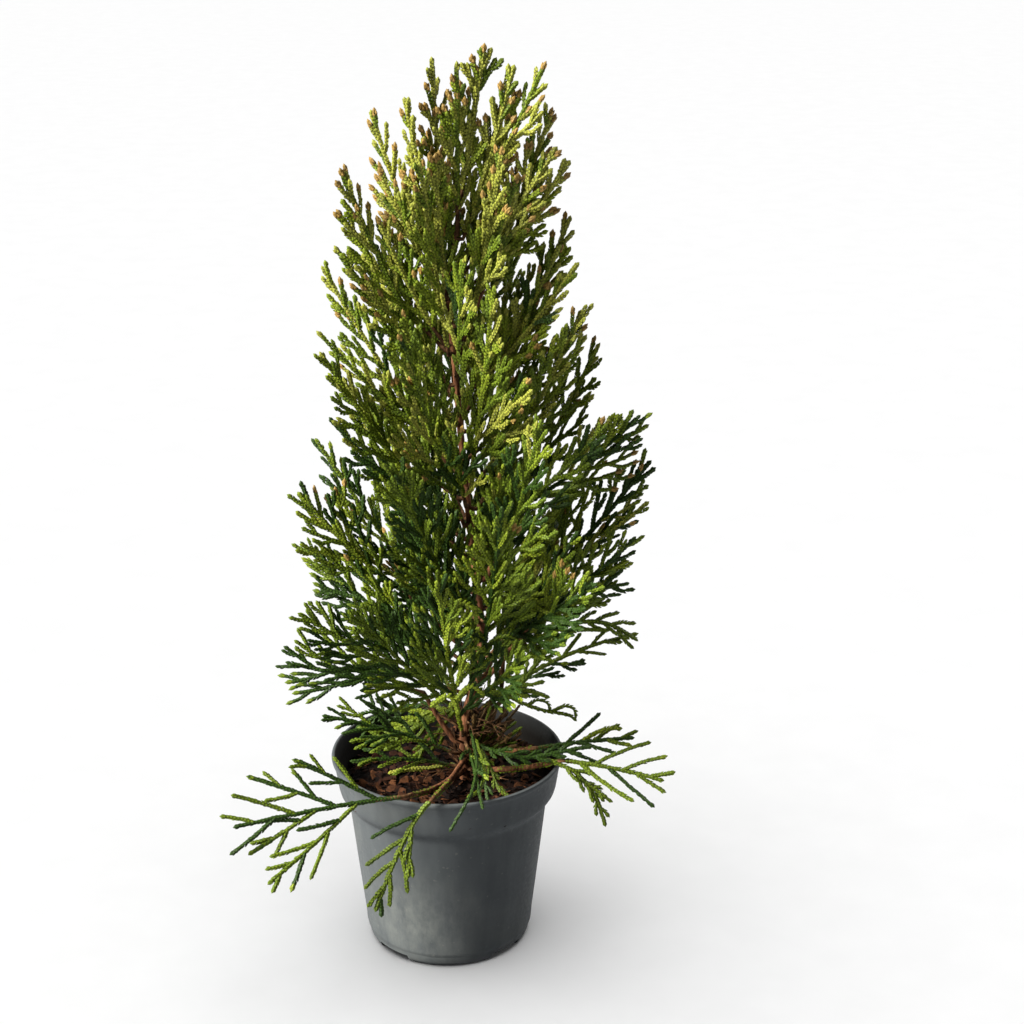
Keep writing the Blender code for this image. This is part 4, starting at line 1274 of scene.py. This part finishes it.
def chip_material():
    """Flakes of bark, each of its own tone."""
    material, tree, shader = new_material("bark_chips", 0.1)
    # The chips' tones are darkened with the mix: partly their own dark bark, partly
    # painted shade from the crown.
    own = ramp(tree, stored(tree, "tone"), (0.0, (0.0010, 0.0004, 0.0003)),
               (0.45, (0.0042, 0.0015, 0.0007)), (0.8, (0.019, 0.0062, 0.0025)),
               (1.0, (0.080, 0.032, 0.013)))
    grain = pattern(tree, 420.0, 4.0, 0.65)
    shades = ramp(tree, grain, (0.35, (0.45, 0.42, 0.40)), (0.65, (1.3, 1.25, 1.2)))
    coat(tree, shader, blended(tree, "MULTIPLY", own, shades), grain, 0.85, (0.6, 0.0006))
    return material


def pot_material():
    """Thin grey recycled plastic: flow streaks, dust, specks, and painted shade on the
    inner wall, darker over a band of soil residue.
    """
    material, tree, shader = new_material("grey_pot_plastic", 0.08)
    cloud = ramp(tree, pattern(tree, 26.0, 4.0, 0.6), (0.30, (0.044, 0.050, 0.054)),
                 (0.55, (0.054, 0.060, 0.064)), (0.78, (0.070, 0.076, 0.076)))
    streaks = ramp(tree, pattern(tree, 240.0, 3.0, 0.5, (1.0, 1.0, 0.06)),
                   (0.35, (0.92, 0.92, 0.92)), (0.65, (1.06, 1.06, 1.05)))
    colour = blended(tree, "MULTIPLY", cloud, streaks)
    # Dried splashes of dust low on the front left
    where = tree.nodes.new("ShaderNodeTexCoord").outputs["Object"]
    away = add_node(tree, "ShaderNodeVectorMath", {"operation": "DISTANCE"},
                    {0: where, 1: (-0.014, -0.032, 0.020)}).outputs["Value"]
    smear = pattern(tree, 150.0, 5.0, 0.7, (1.0, 1.0, 0.5))
    dust = product(tree, spread(tree, away, 1.0, 0.0, 0.006, 0.034),
                   spread(tree, smear, 0.0, 0.62), clamped=True)
    specks = ramp(tree, pattern(tree, 520.0, 1.0, 0.5), (0.71, (0.0, 0.0, 0.0)),
                  (0.76, (0.3, 0.3, 0.3)))
    # The last mark is painted shade: near black over the whole inner wall, deepest below
    # a wavy line of soil residue.
    for mark, share in (((0.130, 0.138, 0.128), dust), ((0.13, 0.13, 0.12), specks),
                        ((0.0065, 0.0055, 0.0045), stored(tree, "inner_shade_and_residue"))):
        colour = blended(tree, "MIX", colour, (*mark, 1.0), share)
    coat(tree, shader, colour, pattern(tree, 700.0, 3.0, 0.6), (0.46, 0.66),
         (0.12, 0.0003))
    return material


# ------------------------------------------------------------------ bark, pot and soil
def bark_limb(name, line, material, sides, root_inside=0.0, seed=0.0):
    """A limb with long peeling fibres raised on it, as a closed mesh."""
    points = [point.copy() for point, _ in line]
    radii = [radius for _, radius in line]
    if root_inside:
        points[0] = points[0] + (points[0] - points[1]).normalized() * root_inside * MM
    lengths = [0.0]
    for a, b in zip(points, points[1:]):
        lengths.append(lengths[-1] + (b - a).length)
    count = max(8, int(lengths[-1] / (BARK_STEP * MM)))
    work = bmesh.new()
    aside = Vector((1.0, 0.0, 0.0))
    rings = []
    for ring in range(count + 1):
        distance = lengths[-1] * ring / count
        index = max(0, min(len(points) - 2,
                           int(np.searchsorted(lengths, distance, side="right")) - 1))
        share = (distance - lengths[index]) / (lengths[index + 1] - lengths[index])
        centre = smooth(points, share, index)
        ahead = (smooth(points, min(1.0, share + 0.05), index)
                 - smooth(points, max(0.0, share - 0.05), index)).normalized()
        radius = radii[index] + (radii[index + 1] - radii[index]) * share
        aside = (aside - ahead * aside.dot(ahead)).normalized()
        across = ahead.cross(aside)
        rings.append([])
        for side in range(sides):
            turn = math.tau * side / sides
            place = Vector((math.cos(turn) * 1.7, math.sin(turn) * 1.7,
                            distance / MM * 0.13 + seed))
            ridge = noise.noise(place * 1.3) * 0.16 + abs(noise.noise(place * 3.1)) * 0.16
            size = radius * (0.94 + ridge)
            rings[-1].append(work.verts.new(
                centre + (aside * math.cos(turn) + across * math.sin(turn)) * size))
    skin(work, rings, sides)
    ends = [work.faces.new(rings[0][::-1]), work.faces.new(rings[-1])]
    bmesh.ops.triangulate(work, faces=ends)
    mesh = mesh_from(name, work)
    mesh.materials.append(material)
    mesh.shade_smooth()
    return placed(name, mesh)


def turned(name, profile, count):
    """A closed solid turned from a profile of (radius, height) in millimetres."""
    work = bmesh.new()
    rings = []
    for radius, height in profile:
        turns = [math.tau * k / count for k in range(count if radius else 1)]
        rings.append([work.verts.new((radius * MM * math.cos(turn),
                                      radius * MM * math.sin(turn), height * MM))
                      for turn in turns])
    skin(work, rings, count)
    return placed(name, mesh_from(name, work))


def make_pot(material):
    """The moulded pot: rolled lip, collar, shoulder, stepped foot and four notches."""
    pot = turned("pot_shell", POT_PROFILE, POT_TURNS)
    cutters = bpy.data.collections.new("pot_cutters")
    bpy.context.scene.collection.children.link(cutters)
    for angle in NOTCH_ANGLES:
        turn = math.radians(angle)
        for ring, height in ((FOOT_R + 2.0 - NOTCH_DEPTH / 2, (NOTCH_HEIGHT - 1.0) / 2),
                             (DRAIN_RING, 3.0)):
            if ring == DRAIN_RING:
                bpy.ops.mesh.primitive_cylinder_add(vertices=32, radius=DRAIN_R * MM,
                                                    depth=8.0 * MM)
                cutter = bpy.context.object
            else:
                bpy.ops.mesh.primitive_cube_add(size=1.0)
                cutter = bpy.context.object
                cutter.rotation_euler.z = turn
                cutter.scale = (NOTCH_DEPTH * MM, NOTCH_WIDTH * MM,
                                (NOTCH_HEIGHT + 1.0) * MM)
            cutter.location = (ring * MM * math.cos(turn), ring * MM * math.sin(turn),
                               height * MM)
            for owner in list(cutter.users_collection):
                owner.objects.unlink(cutter)
            cutters.objects.link(cutter)
    cut = pot.modifiers.new("notches", "BOOLEAN")
    cut.operation, cut.operand_type, cut.solver = "DIFFERENCE", "COLLECTION", "EXACT"
    cut.collection = cutters
    mesh = made_plain(pot)
    pot.modifiers.remove(cut)
    pot.data = mesh
    for cutter in list(cutters.objects):
        bpy.data.objects.remove(cutter, do_unlink=True)
    bpy.data.collections.remove(cutters)
    mesh.materials.clear()
    mesh.materials.append(material)
    mesh.shade_smooth()
    mesh.set_sharp_from_angle(angle=math.radians(SHARP_EDGE))
    # Painted shade inside the pot: each inward-facing vertex gets a share of 0.70, rising
    # to 0.98 below a wavy line of soil residue.
    inner_darkening = []
    for vertex in mesh.vertices:
        inward = -(vertex.normal.x * vertex.co.x + vertex.normal.y * vertex.co.y)
        below_band = noise.noise(vertex.co * 90.0) * 0.004 + DARK_BAND_Z - vertex.co.z
        inner_darkening.append(0.0 if inward < 0.3 * vertex.co.xy.length
                      else 0.70 + 0.28 * max(0.0, min(1.0, below_band / DARK_BAND_EDGE)))
    store(mesh, "inner_shade_and_residue", inner_darkening)
    return pot


def make_soil_top(material):
    """The uneven, crumbly top of the potting mix, on the part's own plug."""
    trunk_x, trunk_y, _ = TRUNK_LINE[0]
    points, faces = [], []
    for ring in range(TOP_RINGS + 1):
        radius = TOP_R * ring / TOP_RINGS
        for k in range(TOP_TURNS if ring else 1):
            turn = math.tau * k / TOP_TURNS
            x, y = radius * math.cos(turn), radius * math.sin(turn)
            fall = max(0.0, radius - SOIL_LEVEL_R) / (SOIL_R - SOIL_LEVEL_R)
            level = SOIL_Z + 0.15 - (SOIL_Z - SOIL_EDGE_Z) * fall
            place = Vector((x, y, 3.0))
            lump = (noise.noise(place * 0.16) * 1.1 + noise.noise(place * 0.42) * 0.8
                    + noise.noise(place * 1.1) * 0.45)
            heave = max(0.0, 1.0 - math.hypot(x - trunk_x, y - trunk_y) / 16.0) * 0.9
            level += 0.55 + max(-0.5, lump + heave)
            if ring == TOP_RINGS:
                level = SOIL_EDGE_Z - 0.4
            points.append((x * MM, y * MM, level * MM))
    for ring in range(TOP_RINGS):
        inner, outer = 1 + (ring - 1) * TOP_TURNS, 1 + ring * TOP_TURNS
        for k in range(TOP_TURNS):
            n = (k + 1) % TOP_TURNS
            faces.append((inner + k, outer + k, outer + n, inner + n) if ring
                         else (0, outer + k, outer + n))
    mesh = mesh_of("soil_top", points, faces=faces)
    mesh.materials.append(material)
    return placed("soil_top", mesh)


# ------------------------------------------------------------------------------ staging
def make_stage():
    """A pale floor, soft light and the camera."""
    floor = placed("floor", mesh_of("floor", [
        (x * FLOOR_HALF, y * FLOOR_HALF, 0)
        for x, y in ((-1, -1), (1, -1), (1, 1), (-1, 1))], faces=[(0, 1, 2, 3)]))
    floor.data.materials.append(finish("pale_floor"))
    world = bpy.data.worlds.new("studio")
    world.use_nodes = True
    sky = world.node_tree.nodes["Background"]
    sky.inputs["Color"].default_value = (1.0, 1.0, 1.0, 1.0)
    sky.inputs["Strength"].default_value = SKY_STRENGTH
    bpy.context.scene.world = world
    for name, (way, power, width, colour, on_floor) in LIGHTS.items():
        lamp = bpy.data.lights.new(name, "SUN")
        lamp.energy, lamp.angle, lamp.color = power, math.radians(width), colour
        light = placed(name, lamp)
        light.rotation_euler = Vector(way).to_track_quat("-Z", "Y").to_euler()
        lit = bpy.data.collections.new(name + "_lights")
        lit.objects.link(floor)
        lit.collection_objects[0].light_linking.link_state = on_floor
        light.light_linking.receiver_collection = lit
    lens = bpy.data.cameras.new("camera")
    lens.sensor_width, lens.lens = SENSOR, LENS
    camera = placed("camera", lens)
    camera.location = CAMERA_AT
    camera.rotation_euler = (math.radians(90.0 - CAMERA_DOWN), 0.0,
                             -math.radians(CAMERA_TURN))
    bpy.context.scene.camera = camera
    bpy.context.scene.view_settings.view_transform = "Standard"


def keep(piece, nodes=()):
    """Ride on the plant's body and stand for CAD nodes, which are hidden."""
    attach(piece, "root")
    nodes = sorted(node for node in nodes if node)
    if nodes:
        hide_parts(*nodes)


def make_limbs(trunk, boughs):
    """The trunk and the boughs in bark."""
    bark = finish("thuja_bark")
    keep(bark_limb("trunk_bark", trunk, bark, TRUNK_SIDES), ["trunk"])
    for index, (name, line) in enumerate(boughs.items()):
        keep(bark_limb(name + "_bark", line, bark, BOUGH_SIDES, ROOT_INSIDE,
                       7.0 * index + 3.0), [name])


def gather_shoots(trunk, boughs):
    """Every shoot and twig of the plant."""
    shoots = Shoots()
    for name, mass in grow_masses(trunk, boughs).items():
        dress_mass(shoots, name, mass)
    dress_trunk(shoots, trunk)
    dress_strands(shoots)
    for name, share in RIM_LEAFY.items():
        line = last_part([point for point, _ in boughs[name]], share, 8)
        shoots.shoot(None, line, Vector((0.0, -0.7, 0.7)), RIM_SHOOT * MM, "green")
    bare_twigs(shoots, trunk, dry_shoots(shoots))
    return shoots


def make_foliage(shoots):
    """The leafy shoots, joined by tint, and the bare twigs."""
    tree, places = leaf_tree()
    whorl, bud = whorl_shape(), bud_shape()
    for tint, (colour, slot) in TINTS.items():
        material = leaf_material(tint, colour)
        lines = sorted(shoots.leafy[tint], key=lambda each: each[0][-1].z)
        length = sum(length_of(each[0]) for each in lines) / MM
        parts = max(1, math.ceil(length / LEAF_PITCH * WHORL_FACES / PIECE_FACES))
        for part in range(parts):
            chosen = lines[len(lines) * part // parts:len(lines) * (part + 1) // parts]
            piece = grown(f"leaves_{tint}_{part + 1}", line_mesh(chosen), tree, places,
                          {"Leaf overlap": 1.0, "Whorl": whorl, "Bud": bud,
                           "Finish": material, "Seed": 11})
            keep(piece, shoots.sources[tint])
    tree, places = twig_tree()
    keep(grown("twigs", line_mesh(shoots.bare), tree, places,
               {"Sides": 6, "Finish": finish("dry_twig")}), shoots.woody)


def make_soil():
    """The potting mix: a finish for the part's plug, its lumpy top, chips and fibres."""
    mix = finish("potting_mix")
    plug = frame["nodes"]["soil"].data
    plug.materials.clear()
    plug.materials.append(mix)
    top = make_soil_top(mix)
    keep(top)
    chip = chip_material()
    tree, places = crumb_tree()
    for name, (sizes, density, least, most) in CRUMBS.items():
        keep(grown("soil_" + name, top.data.copy(), tree, places,
                   {"Density": density, "Crumb": crumb_shape(name, sizes), "Least": least,
                    "Most": most, "Finish": chip, "Seed": 5}))


def main():
    """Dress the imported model."""
    make_stage()
    trunk = trunk_points()
    boughs = {name: bough_line(trunk, *sizes) for name, sizes in BOUGHS.items()}
    make_limbs(trunk, boughs)
    make_foliage(gather_shoots(trunk, boughs))
    keep(make_pot(pot_material()), ["pot"])
    make_soil()


main()
